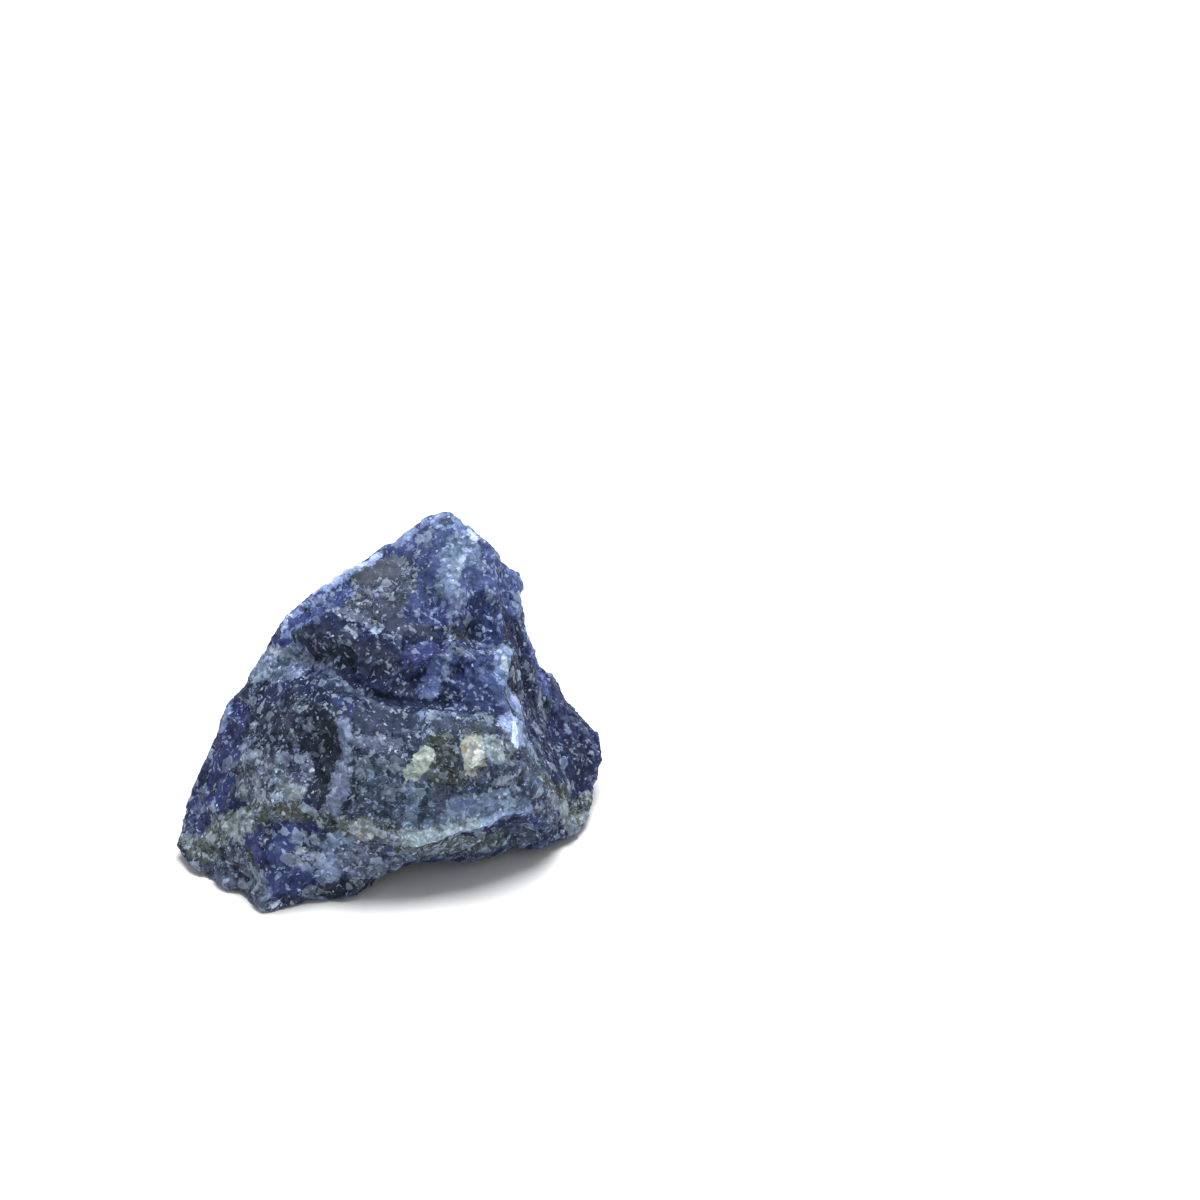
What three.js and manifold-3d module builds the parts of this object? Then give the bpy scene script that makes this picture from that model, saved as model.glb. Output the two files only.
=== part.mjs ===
// A rough lump of sodalite, about 55 mm across, as it was broken from a larger mass.
// It is one solid. Its surface is drawn as a net of corners, in named lines that follow the ridges,
// ledges and hollows of the broken faces. The net is stretched round the stone's heart, cut into
// small triangles, worn a little at its edges, roughened, and cut flat where the stone rests.
// Millimetres, +Z up. +X is the stone's long way, and its ledged face looks along -Y.
import * as THREE from "three";
import { ConvexHull } from "three/addons/math/ConvexHull.js";
import { ImprovedNoise } from "three/addons/math/ImprovedNoise.js";
import { mergeVertices } from "three/addons/utils/BufferGeometryUtils.js";
import Module from "manifold-3d";

const HEART = new THREE.Vector3(0, 2, 14); // inside the stone: every part of the surface faces it
const LONGEST_RIDGE_STEP = 2.6; // between corners along a line of the net
const LONGEST_SIDE = 2.4; // of a finished triangle
const WEAR_SHARE = 0.35; // how far wear moves a point towards the middle of its neighbours
const CHIPS = {
  // Small flats where splinters came off: how wide and how deep they are, and how far they lean.
  count: 220,
  narrowest: 2.5,
  widest: 6,
  shallowest: 0,
  deepest: 0.45,
  lean: 0.1,
  seed: 7,
};
const LUMPS = [
  // The roughness of a broken face: how wide a lump is, and how far it stands out or in.
  { width: 5, height: 0.25 },
  { width: 2.4, height: 0.18 },
];
const LUMPS_START = new THREE.Vector3(31.4, 17.2, 5.9); // where in the noise the stone lies
const FLAT = { width: 200, depth: 20 }; // the block that is taken away under the resting face
const STONE_COLOUR = "#3a4467";
const STONE_ROUGHNESS = 0.6;

// Corners of the net, [x, y, z], in order along every ridge, rim and lip of the stone.
const RIDGES = [
  // The summit, from left to right.
  [
    [1, 3.5, 38.5], [3, 4, 40.5], [5, 4.5, 42], [7.5, 4.5, 43], [10, 5, 42], [12, 4.5, 40.5],
    [14.5, 3.5, 38],
  ],
  // The right shoulder, down to the knob that stands out low on the right.
  [
    [14.5, 3.5, 38], [17, 7, 32], [18, 9, 26], [18.5, 9, 22.5], [19, 9.5, 18], [21.5, 11, 13.5], [24, 10, 9],
    [26, 7, 9], [28, 5, 7.5], [28, 2, 5.5], [27, 0, 3.5], [26.5, -3, 3.5], [26, -5, 1],
  ],
  // The bottom rim, from right to left, by the foot that stands forward.
  [
    [26, -5, 1], [23.5, -8.5, 1.5], [20, -11.5, 2], [16.5, -13, 2], [13.5, -14, 1.5], [9.5, -15, 1.5],
    [6.5, -15.5, 1.5], [3, -16, 1.5], [0, -18, 1], [-2, -19.5, 0.5], [-4.5, -21, 0.5], [-9, -21, 0],
    [-11.5, -22.5, 0], [-15, -23, -0.5], [-16.5, -22, -1], [-19, -19, 0], [-22, -17, 0], [-25.5, -15, 0.5],
    [-27.5, -11, 2],
  ],
  // The left rim, up to the slab.
  [
    [-27.5, -11, 2], [-26.5, -9, 4.5], [-25, -7.5, 8], [-23, -6, 12], [-21.5, -4.5, 16.5], [-20.5, -4, 19],
    [-18, -3, 22.5], [-16, -2.5, 24.5], [-14, -2, 26],
  ],
  // The upper rim of the slab, up to the summit.
  [
    [-14, -2, 26], [-14, -1, 28.5], [-10.5, 0, 31.5], [-7.5, 1, 34], [-4, 2, 36], [-1, 3, 37.5],
    [1, 3.5, 38.5],
  ],
  // Where the slab turns down steeply.
  [
    [-12.5, -3.5, 28.5], [-10.5, -4.5, 30], [-8, -6, 31], [-3.5, -7.5, 31], [-0.5, -8, 31.5], [2, -8.5, 31],
    [4.5, -8.5, 31], [7, -8.5, 31],
  ],
  // The ridge down the middle, from the summit to the ledge.
  [
    [8.5, 2.5, 41], [8.5, 1, 39.5], [9, -2.5, 38], [9, -5, 36], [9, -7, 34], [9, -8.5, 31.5], [9, -9.5, 29],
    [8.5, -11, 27], [7.5, -12.5, 25.5],
  ],
  // The right edge, where the broken front turns into the steep right side.
  [
    [14.5, 3.5, 38], [15, -0.5, 34.5], [15.5, -3.5, 31], [16.5, -6.5, 29], [16.5, -8.5, 26], [17, -11, 24],
    [17.5, -13, 22], [18, -14, 20], [19.5, -14, 16.5], [20.5, -14.5, 14], [21, -14.5, 10.5], [22, -13, 5.5],
  ],
  // The lip under the cove.
  [[9.5, -8.5, 30], [11, -8.5, 30.5], [13.5, -8.5, 30], [15.5, -7.5, 29]],
  // The foot of the slab, in a narrow groove behind the ledge.
  [
    [-13.5, -4, 26], [-10.5, -4.5, 26.5], [-7, -7, 26.5], [-4, -9, 26], [-2.5, -11, 25], [0.5, -11.5, 24],
    [4, -12, 24],
  ],
  // The crest of the ledge.
  [
    [-16, -5, 23], [-13, -5.5, 26], [-10, -6, 27.5], [-7, -8.5, 27.5], [-4.5, -11, 27], [-3, -13, 25.5],
    [-1.5, -13.5, 25], [2, -14, 25], [5.5, -14, 25], [8, -14, 25.5], [11.5, -13.5, 25.5], [14.5, -12.5, 25],
  ],
  // The lip of the ledge, over the front face.
  [
    [-5, -16, 24], [-3, -17.5, 22.5], [0.5, -18, 23], [3.5, -17.5, 23.5], [6, -17, 23.5], [9.5, -16.5, 24],
    [14, -16, 24], [16, -15.5, 23], [17.5, -13, 22],
  ],
  // The corner between the left face and the front face.
  [[-5, -16, 24], [-4, -18.5, 20.5], [-4.5, -19.5, 17.5], [-5.5, -20, 13.5], [-6.5, -20.5, 12.5]],
  // The waist, where the front turns in towards the bottom rim.
  [
    [-25, -10.5, 5.5], [-22.5, -13, 6.5], [-17.5, -16.5, 10], [-13, -18.5, 12.5], [-10, -19.5, 13.5],
    [-6.5, -20.5, 12.5], [-2.5, -21.5, 11.5], [1, -21.5, 11.5], [5.5, -21, 9.5], [8, -20.5, 10.5],
    [12.5, -19.5, 11.5], [15, -18.5, 12], [18.5, -16.5, 11.5], [22, -13, 5.5],
  ],
  // The hollow of the right side, between the right edge and the knob.
  [
    [16.5, 3, 29.5], [17.5, 1.5, 25.5], [18, 0, 21], [18.5, -3, 18.5], [19.5, -6, 15.5], [21, -8, 12.5],
    [22.5, -9, 8.5], [24, -7.5, 4.5],
  ],
];

// Corners between the ridges, face by face.
const FACES = [
  // The slab.
  [[-7.5, -2, 32.5], [-2, -1.5, 34.5], [2.5, 0, 37], [5.5, 1, 39.5], [-5.5, -4, 32], [0, -5, 33]],
  [[4.5, -4, 34.5]],
  // The steep foot of the slab, with a lobe at its right end.
  [[-7, -7, 28.5], [-2.5, -9, 28], [1, -10, 27.5], [0.5, -11, 26], [4.5, -10.5, 28], [5.5, -12, 26]],
  // The cove beside the middle ridge, and the facet below it.
  [[11.5, 0, 37.5], [12, -2, 35], [11.5, -3.5, 32], [13.5, -1.5, 32.5], [13, -4, 30], [11.5, -4, 29]],
  [[11.5, -10, 29], [14.5, -9.5, 28.5], [11.5, -12, 27.5], [15, -11.5, 26.5]],
  // The front face, with the rise of the pale crystals in it.
  [[0.5, -19.5, 19.5], [-1.5, -20, 15], [4.5, -19, 20], [4, -20, 14], [9, -19, 20.5], [8, -19.5, 15.5]],
  [[12.5, -18, 20.5], [12.5, -18.5, 15.5], [16.5, -17, 19], [16.5, -17.5, 15]],
  // The left face.
  [[-16.5, -6.5, 21.5], [-12.5, -7, 24.5], [-17.5, -10, 17.5], [-12.5, -12, 21.5], [-8.5, -12.5, 25]],
  [[-7.5, -15.5, 20], [-8, -17, 17], [-13.5, -14.5, 17], [-20, -11.5, 12], [-14, -17.5, 14]],
  [[-9.5, -18.5, 14.5]],
  // The foot, and the front of it.
  [[-22, -15.5, 4], [-16.5, -20, 6.5], [-12.5, -22, 9], [-13, -23, 4.5], [-7, -22, 8], [-3, -21, 6.5]],
  // The underside of the front, right of the foot.
  [[7.5, -17.5, 5.5], [12.5, -16.5, 6], [17, -15, 6.5], [19.5, -13.5, 5.5]],
  // The knob and the slope above it.
  [[21, 5, 14], [21.5, 1.5, 11], [23.5, -2, 9], [24.5, -4, 6.5], [25, 3, 9.5], [26, 0.5, 7.5]],
  // The back.
  [[-22, 3, 4], [-17, 12, 3], [-6, 19, 2.5], [8, 21, 3], [19, 16, 2.5], [25, 8, 3], [-17, 5, 16]],
  [[-9, 11, 20], [0, 14, 22], [9, 15, 20], [17, 14, 15], [-4, 8, 31], [5, 9, 34], [12, 9, 31]],
  // Under the floor, so that the resting face is flat across.
  [[-9, -17, -1], [12, -9, -1], [13, 8, -1], [-2, 12, -1], [-16, -1, -1], [0, 0, -1]],
];

// Gives the triangles that join the corners side by side when they are seen from the heart.
function stretchNet(corners) {
  const sights = corners.map((corner) => corner.clone().sub(HEART).normalize());
  const hull = new ConvexHull().setFromPoints(sights);
  return hull.faces.map((face) => {
    const first = face.edge;
    const ends = [first, first.next, first.next.next].map((edge) => edge.head().point);
    return ends.map((sight) => sights.indexOf(sight));
  });
}

// Sets more corners on a line where two of them lie far apart.
function fillLine(line) {
  const corners = line.map((corner) => new THREE.Vector3(...corner));
  return corners.flatMap((corner, i) => {
    if (i + 1 === corners.length) return [corner];
    const next = corners[i + 1];
    const steps = Math.ceil(corner.distanceTo(next) / LONGEST_RIDGE_STEP);
    return Array.from({ length: steps }, (_, k) => corner.clone().lerp(next, k / steps));
  });
}

// Every corner of the net once, also where ridges share one.
function gatherCorners() {
  const between = FACES.flat().map((corner) => new THREE.Vector3(...corner));
  const corners = [...RIDGES.flatMap(fillLine), ...between];
  const byPlace = new Map(corners.map((corner) => [corner.toArray().join(), corner]));
  return [...byPlace.values()];
}

// Cuts every long side at its middle, and the triangles on either side of it to match.
function splitLongSides(points, triangles) {
  const middles = new Map();
  const middleOf = (a, b) => {
    if (points[a].distanceTo(points[b]) <= LONGEST_SIDE) return null;
    const key = a < b ? `${a}_${b}` : `${b}_${a}`;
    if (!middles.has(key)) {
      middles.set(key, points.length);
      points.push(points[a].clone().lerp(points[b], 0.5));
    }
    return middles.get(key);
  };
  return triangles.flatMap((corners) => {
    const cuts = corners.map((corner, i) => middleOf(corner, corners[(i + 1) % 3]));
    if (cuts.every((cut) => cut === null)) return [corners];
    const first = cuts.every((cut) => cut !== null)
      ? 0
      : cuts.findIndex((cut, i) => cut !== null && cuts[(i + 2) % 3] === null);
    const [a, b, c] = [0, 1, 2].map((i) => corners[(first + i) % 3]);
    const [ab, bc, ca] = [0, 1, 2].map((i) => cuts[(first + i) % 3]);
    if (bc === null) return [[a, ab, c], [ab, b, c]];
    if (ca === null) return [[ab, b, bc], [a, ab, bc], [a, bc, c]];
    return [[a, ab, ca], [ab, b, bc], [ca, bc, c], [ab, bc, ca]];
  });
}

// Takes the sharpness off: every point moves towards the middle of its neighbours.
function wearEdges(points, triangles) {
  const sums = points.map(() => new THREE.Vector3());
  const counts = points.map(() => 0);
  for (const [a, b, c] of triangles) {
    for (const [here, there] of [[a, b], [b, c], [c, a]]) {
      sums[here].add(points[there]);
      counts[here] += 1;
    }
  }
  points.forEach((point, i) => point.lerp(sums[i].divideScalar(counts[i]), WEAR_SHARE));
}

// Gives the same run of numbers between 0 and 1 every time it is started with the same seed.
function startNumbers(seed) {
  let state = seed;
  return () => {
    state = (state * 16807) % 2147483647;
    return state / 2147483647;
  };
}

// Splits off chips: round a place, whatever stands above a leaning plane is pressed onto it. A place is
// the triangle that is seen from the heart in a random direction.
function chipFlats(points, triangles) {
  const number = startNumbers(CHIPS.seed);
  const between = (low, high) => low + (high - low) * number();
  const anyWay = (most) => new THREE.Vector3(...[0, 0, 0].map(() => between(-most, most)));
  const sights = triangles.map(([a]) => points[a].clone().sub(HEART).normalize());
  for (let i = 0; i < CHIPS.count; i += 1) {
    const way = anyWay(1);
    const picked = sights.reduce((best, sight, k) => (sight.dot(way) > sights[best].dot(way) ? k : best), 0);
    const [a, b, c] = triangles[picked].map((k) => points[k]);
    const facing = b.clone().sub(a).cross(c.clone().sub(a)).normalize();
    facing.add(anyWay(CHIPS.lean)).normalize();
    const middle = a.clone().addScaledVector(facing, -between(CHIPS.shallowest, CHIPS.deepest));
    const reach = between(CHIPS.narrowest, CHIPS.widest);
    for (const point of points) {
      const above = point.clone().sub(middle).dot(facing);
      const pressed = point.distanceTo(middle) < reach ? THREE.MathUtils.clamp(above, 0, CHIPS.deepest) : 0;
      point.addScaledVector(facing, -pressed);
    }
  }
}

// Moves every point out or in along its line from the heart, lump by lump.
function roughen(points) {
  const noise = new ImprovedNoise();
  for (const point of points) {
    const outward = point.clone().sub(HEART).normalize();
    for (const { width, height } of LUMPS) {
      const place = point.clone().divideScalar(width).add(LUMPS_START);
      point.addScaledVector(outward, height * noise.noise(place.x, place.y, place.z));
    }
  }
}

const wasm = await Module();
wasm.setup();

function toSolid(geometry) {
  const bare = geometry.clone();
  bare.deleteAttribute("normal");
  bare.deleteAttribute("uv");
  const merged = mergeVertices(bare);
  return new wasm.Manifold(new wasm.Mesh({
    numProp: 3,
    vertProperties: new Float32Array(merged.attributes.position.array),
    triVerts: new Uint32Array(merged.index.array),
  }));
}

function toGeometry(solid) {
  const mesh = solid.getMesh();
  const geometry = new THREE.BufferGeometry();
  geometry.setAttribute("position", new THREE.BufferAttribute(mesh.vertProperties, 3));
  geometry.setIndex(new THREE.BufferAttribute(mesh.triVerts, 1));
  return geometry;
}

function buildRoughGeometry() {
  const points = gatherCorners();
  let triangles = stretchNet(points);
  let before = 0;
  while (triangles.length > before) {
    before = triangles.length;
    triangles = splitLongSides(points, triangles);
  }
  wearEdges(points, triangles);
  chipFlats(points, triangles);
  roughen(points);
  const geometry = new THREE.BufferGeometry().setFromPoints(points);
  geometry.setIndex(triangles.flat());
  return geometry;
}

// Cuts the resting face flat at the floor and stands the stone over the middle of its own box.
function buildStone() {
  const block = new THREE.BoxGeometry(FLAT.width, FLAT.width, FLAT.depth);
  block.translate(0, 0, -FLAT.depth / 2);
  const rested = toSolid(buildRoughGeometry()).subtract(toSolid(block));
  const geometry = toGeometry(rested);
  geometry.computeBoundingBox();
  const middle = geometry.boundingBox.getCenter(new THREE.Vector3());
  geometry.translate(-middle.x, -middle.y, 0);
  geometry.computeVertexNormals();
  const finish = new THREE.MeshStandardMaterial({
    color: STONE_COLOUR,
    roughness: STONE_ROUGHNESS,
    metalness: 0,
  });
  const stone = new THREE.Mesh(geometry, finish);
  stone.name = "sodalite_stone";
  return stone;
}

const part = new THREE.Group();
part.name = "rough_sodalite";
part.add(buildStone());

export default part;
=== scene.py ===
"""A rough lump of sodalite: its finely broken skin, its minerals, and a plain pale studio.

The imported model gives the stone's shape. A skin is laid over it, chipped and grained as broken rock
is, and dressed in a mosaic of minerals. Lengths in the classes below are in millimetres, because that
is the scale of the grain; meshes and objects are in metres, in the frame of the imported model.
"""

from __future__ import annotations

import logging
import math
from dataclasses import dataclass
from enum import Enum
from typing import Optional, Sequence, Union

import bpy
import numpy as np
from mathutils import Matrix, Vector, kdtree

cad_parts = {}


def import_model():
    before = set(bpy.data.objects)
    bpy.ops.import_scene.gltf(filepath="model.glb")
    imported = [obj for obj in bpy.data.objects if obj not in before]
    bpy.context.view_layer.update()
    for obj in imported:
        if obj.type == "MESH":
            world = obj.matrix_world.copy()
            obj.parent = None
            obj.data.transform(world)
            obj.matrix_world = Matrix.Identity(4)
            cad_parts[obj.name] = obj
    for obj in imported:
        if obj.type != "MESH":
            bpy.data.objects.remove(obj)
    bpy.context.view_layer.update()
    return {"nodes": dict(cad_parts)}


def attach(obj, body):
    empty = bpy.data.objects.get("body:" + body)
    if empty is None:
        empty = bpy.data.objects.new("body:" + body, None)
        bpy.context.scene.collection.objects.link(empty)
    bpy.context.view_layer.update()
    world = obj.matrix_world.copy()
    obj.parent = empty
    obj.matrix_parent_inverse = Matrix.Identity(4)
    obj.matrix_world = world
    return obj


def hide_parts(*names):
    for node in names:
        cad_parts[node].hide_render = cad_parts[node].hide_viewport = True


LOG = logging.getLogger("sodalite")
MM = 0.001
NODE = "sodalite_stone"
SKIN = "sodalite_skin"

Place = tuple[float, float, float]
Tone = tuple[float, float, float, float]
Socket = bpy.types.NodeSocket
Value = Union[Socket, float, Sequence[float]]
Sockets = dict[str, Socket]

# The middle value of random numbers and of the noise nodes, which run from 0 to 1.
MIDDLE = 0.5
# The least length that anything is divided by.
LEAST_LENGTH = 1e-12


def put_in_scene(name: str, data: bpy.types.ID) -> bpy.types.Object:
    """Makes an object and puts it in the scene.

    Args:
        name: The object's name.
        data: The mesh, light or camera that it holds.

    Returns:
        The object.
    """
    thing = bpy.data.objects.new(name, data)
    bpy.context.scene.collection.objects.link(thing)
    return thing


# ---------------------------------------------------------------------------------------------
# Noise over points in space
# ---------------------------------------------------------------------------------------------

# Large primes and shifts that scramble whole numbers into steady random ones.
CELL_PRIMES = (73856093, 19349663, 83492791)
SALT_PRIME = 39916801
SCRAMBLES = ((15, 739982445), (12, 695872825))
LAST_SHIFT = 15
WORD = 0xFFFFFFFF
RANDOM_STEPS = 0x1000000


def random_of_cells(cells: np.ndarray, salt: int) -> np.ndarray:
    """Gives every whole-number cell its own steady random number.

    Args:
        cells: Cell places, whole numbers with three columns.
        salt: Picks one run of numbers out of many.

    Returns:
        One number from 0 to 1 for each cell.
    """
    mixed = np.bitwise_xor.reduce(cells.astype(np.int64) * np.array(CELL_PRIMES), axis=-1)
    mixed = (mixed ^ (salt * SALT_PRIME)) & WORD
    for shift, factor in SCRAMBLES:
        mixed = ((mixed ^ (mixed >> shift)) * factor) & WORD
    return ((mixed ^ (mixed >> LAST_SHIFT)) & (RANDOM_STEPS - 1)) / float(RANDOM_STEPS)


def random_ways(cells: np.ndarray, salt: int) -> np.ndarray:
    """Gives every cell three random numbers from 0 to 1, as the columns of one array."""
    return np.stack([random_of_cells(cells, salt + axis) for axis in range(3)], axis=1)


def soft_noise(points: np.ndarray, size: float, salt: int) -> np.ndarray:
    """Makes smooth noise whose lumps are about size across.

    Args:
        points: Points with three columns.
        size: Width of a lump, in the points' own unit.
        salt: Picks one field of noise out of many.

    Returns:
        One number from -1 to 1 for each point.
    """
    scaled = points / size
    base = np.floor(scaled).astype(np.int64)
    part = scaled - base
    ease = part * part * part * (part * (part * 6 - 15) + 10)
    total = np.zeros(len(points))
    for corner in np.ndindex(2, 2, 2):
        share = np.prod(np.where(corner, ease, 1 - ease), axis=1)
        total += share * random_of_cells(base + np.array(corner), salt)
    return 2 * total - 1


@dataclass
class Cells:
    """The grain each point lies in: its cell, its seed's place, and the distance to its border."""

    cell: np.ndarray
    seed: np.ndarray
    border: np.ndarray


def nearest_cells(points: np.ndarray, size: float, salt: int) -> Cells:
    """Finds the grain that each point lies in.

    Args:
        points: Points with three columns.
        size: Width of a grain, in the points' own unit.
        salt: Picks one packing of grains out of many.

    Returns:
        The grains of all points.
    """
    scaled = points / size
    base = np.floor(scaled).astype(np.int64)
    nearest = np.full(len(points), np.inf)
    second = np.full(len(points), np.inf)
    cells = Cells(np.zeros((len(points), 3), np.int64), np.zeros((len(points), 3)), nearest)
    for step in np.ndindex(3, 3, 3):
        cell = base + np.array(step) - 1
        seed = cell + random_ways(cell, salt)
        reach = np.linalg.norm(scaled - seed, axis=1)
        closer = reach < nearest
        second = np.where(closer, nearest, np.minimum(second, reach))
        cells.cell[closer] = cell[closer]
        cells.seed[closer] = seed[closer] * size
        nearest = np.where(closer, reach, nearest)
    cells.border = (second - nearest) * size
    return cells


def smooth_step(values: np.ndarray, low: float, high: float) -> np.ndarray:
    """Rises from 0 at low to 1 at high, gently at both ends."""
    share = np.clip((values - low) / (high - low), 0, 1)
    return share * share * (3 - 2 * share)


# ---------------------------------------------------------------------------------------------
# The broken skin
# ---------------------------------------------------------------------------------------------


@dataclass(frozen=True)
class Unevenness:
    """Slow noise that makes a measure uneven: its share of the measure, its lumps' width, its salt."""

    share: float
    size: float
    salt: int

    def over(self, points: np.ndarray) -> np.ndarray:
        """Gives what the measure is multiplied by at each point."""
        return 1 + self.share * soft_noise(points, self.size, self.salt)


@dataclass(frozen=True)
class Chipping:
    """One size of chip: how many there are, how wide and deep they go, and how far they lean."""

    count: int
    narrowest: float
    widest: float
    deepest: float
    lean: float
    seed: int


@dataclass(frozen=True)
class GrainRelief:
    """One size of grain: how far its face leans and stands out, and how many grains fell out."""

    size: float
    lean: float
    height: float
    parting: float
    lost: float
    salt: int
    parting_reach: float = 0.35
    lost_depth: float = 0.08

    @property
    def lean_salt(self) -> int:
        """The salt of the faces' directions."""
        return self.salt + 5

    @property
    def height_salt(self) -> int:
        """The salt of the faces' heights."""
        return self.salt + 9

    @property
    def lost_salt(self) -> int:
        """The salt that says which grains fell out."""
        return self.salt + 13


@dataclass(frozen=True)
class Line:
    """A line pressed into the skin, or raised above it where its depth is below 0."""

    path: tuple[Place, ...]
    width: float
    depth: float


@dataclass(frozen=True)
class Splintering:
    """Long splinters on one side of the stone: which way they run and how they stand out."""

    side: Place = (0.9, -0.25, 0.0)
    way: Place = (0.2, -0.45, -0.87)
    starts_at: float = 12.5
    full_at: float = 16.5
    width: float = 0.9
    stretch: float = 6.0
    height: float = 0.12
    salt: int = 61
    finer: float = 0.5
    finer_salt: int = 67


class ShapeNote(Enum):
    """What the skin notes about its shape, under the names that the material reads."""

    EDGE = "edge"
    HOLLOW = "hollow"


class SkinMesh:
    """A mesh's points, sides and faces as arrays, in millimetres."""

    def __init__(self, mesh: bpy.types.Mesh) -> None:
        """Reads the mesh.

        Args:
            mesh: A closed mesh of quads, in metres.
        """
        self.mesh = mesh
        self.points = np.zeros(len(mesh.vertices) * 3)
        mesh.vertices.foreach_get("co", self.points)
        self.points = self.points.reshape(-1, 3) / MM
        self.sides = np.zeros(len(mesh.edges) * 2, np.int64)
        mesh.edges.foreach_get("vertices", self.sides)
        self.sides = self.sides.reshape(-1, 2)
        self.faces = np.zeros(len(mesh.polygons) * 4, np.int64)
        mesh.polygons.foreach_get("vertices", self.faces)
        self.faces = self.faces.reshape(-1, 4)

    def normals(self) -> np.ndarray:
        """Works out each point's outward direction from the faces round it.

        Returns:
            One direction of length 1 for each point.
        """
        corners = self.points[self.faces]
        facing = np.cross(corners[:, 2] - corners[:, 0], corners[:, 3] - corners[:, 1])
        total = np.zeros_like(self.points)
        for column in range(4):
            for axis in range(3):
                total[:, axis] += np.bincount(
                    self.faces[:, column], weights=facing[:, axis], minlength=len(self.points)
                )
        return total / np.maximum(np.linalg.norm(total, axis=1, keepdims=True), LEAST_LENGTH)

    def averaged(self, values: np.ndarray, passes: int) -> np.ndarray:
        """Spreads values along the mesh.

        Args:
            values: One row for each point.
            passes: How often each point takes the middle between itself and its neighbours.

        Returns:
            The spread values, in the same form.
        """
        rows = values.reshape(len(self.points), -1).copy()
        a, b = self.sides[:, 0], self.sides[:, 1]
        count = np.bincount(a, minlength=len(rows)) + np.bincount(b, minlength=len(rows))
        for _ in range(passes):
            for column in range(rows.shape[1]):
                line = rows[:, column]
                near = np.bincount(a, weights=line[b], minlength=len(rows))
                near += np.bincount(b, weights=line[a], minlength=len(rows))
                rows[:, column] = (line + near / count) / 2
        return rows.reshape(values.shape)

    def write(self) -> None:
        """Puts the points back into the mesh, in metres."""
        self.mesh.vertices.foreach_set("co", (self.points * MM).ravel())
        self.mesh.update()

    def note(self, name: str, values: np.ndarray) -> None:
        """Keeps one number a point in the mesh, for the material to read."""
        attribute = self.mesh.attributes.new(name, "FLOAT", "POINT")
        attribute.data.foreach_set("value", values.astype(np.float32))


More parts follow.
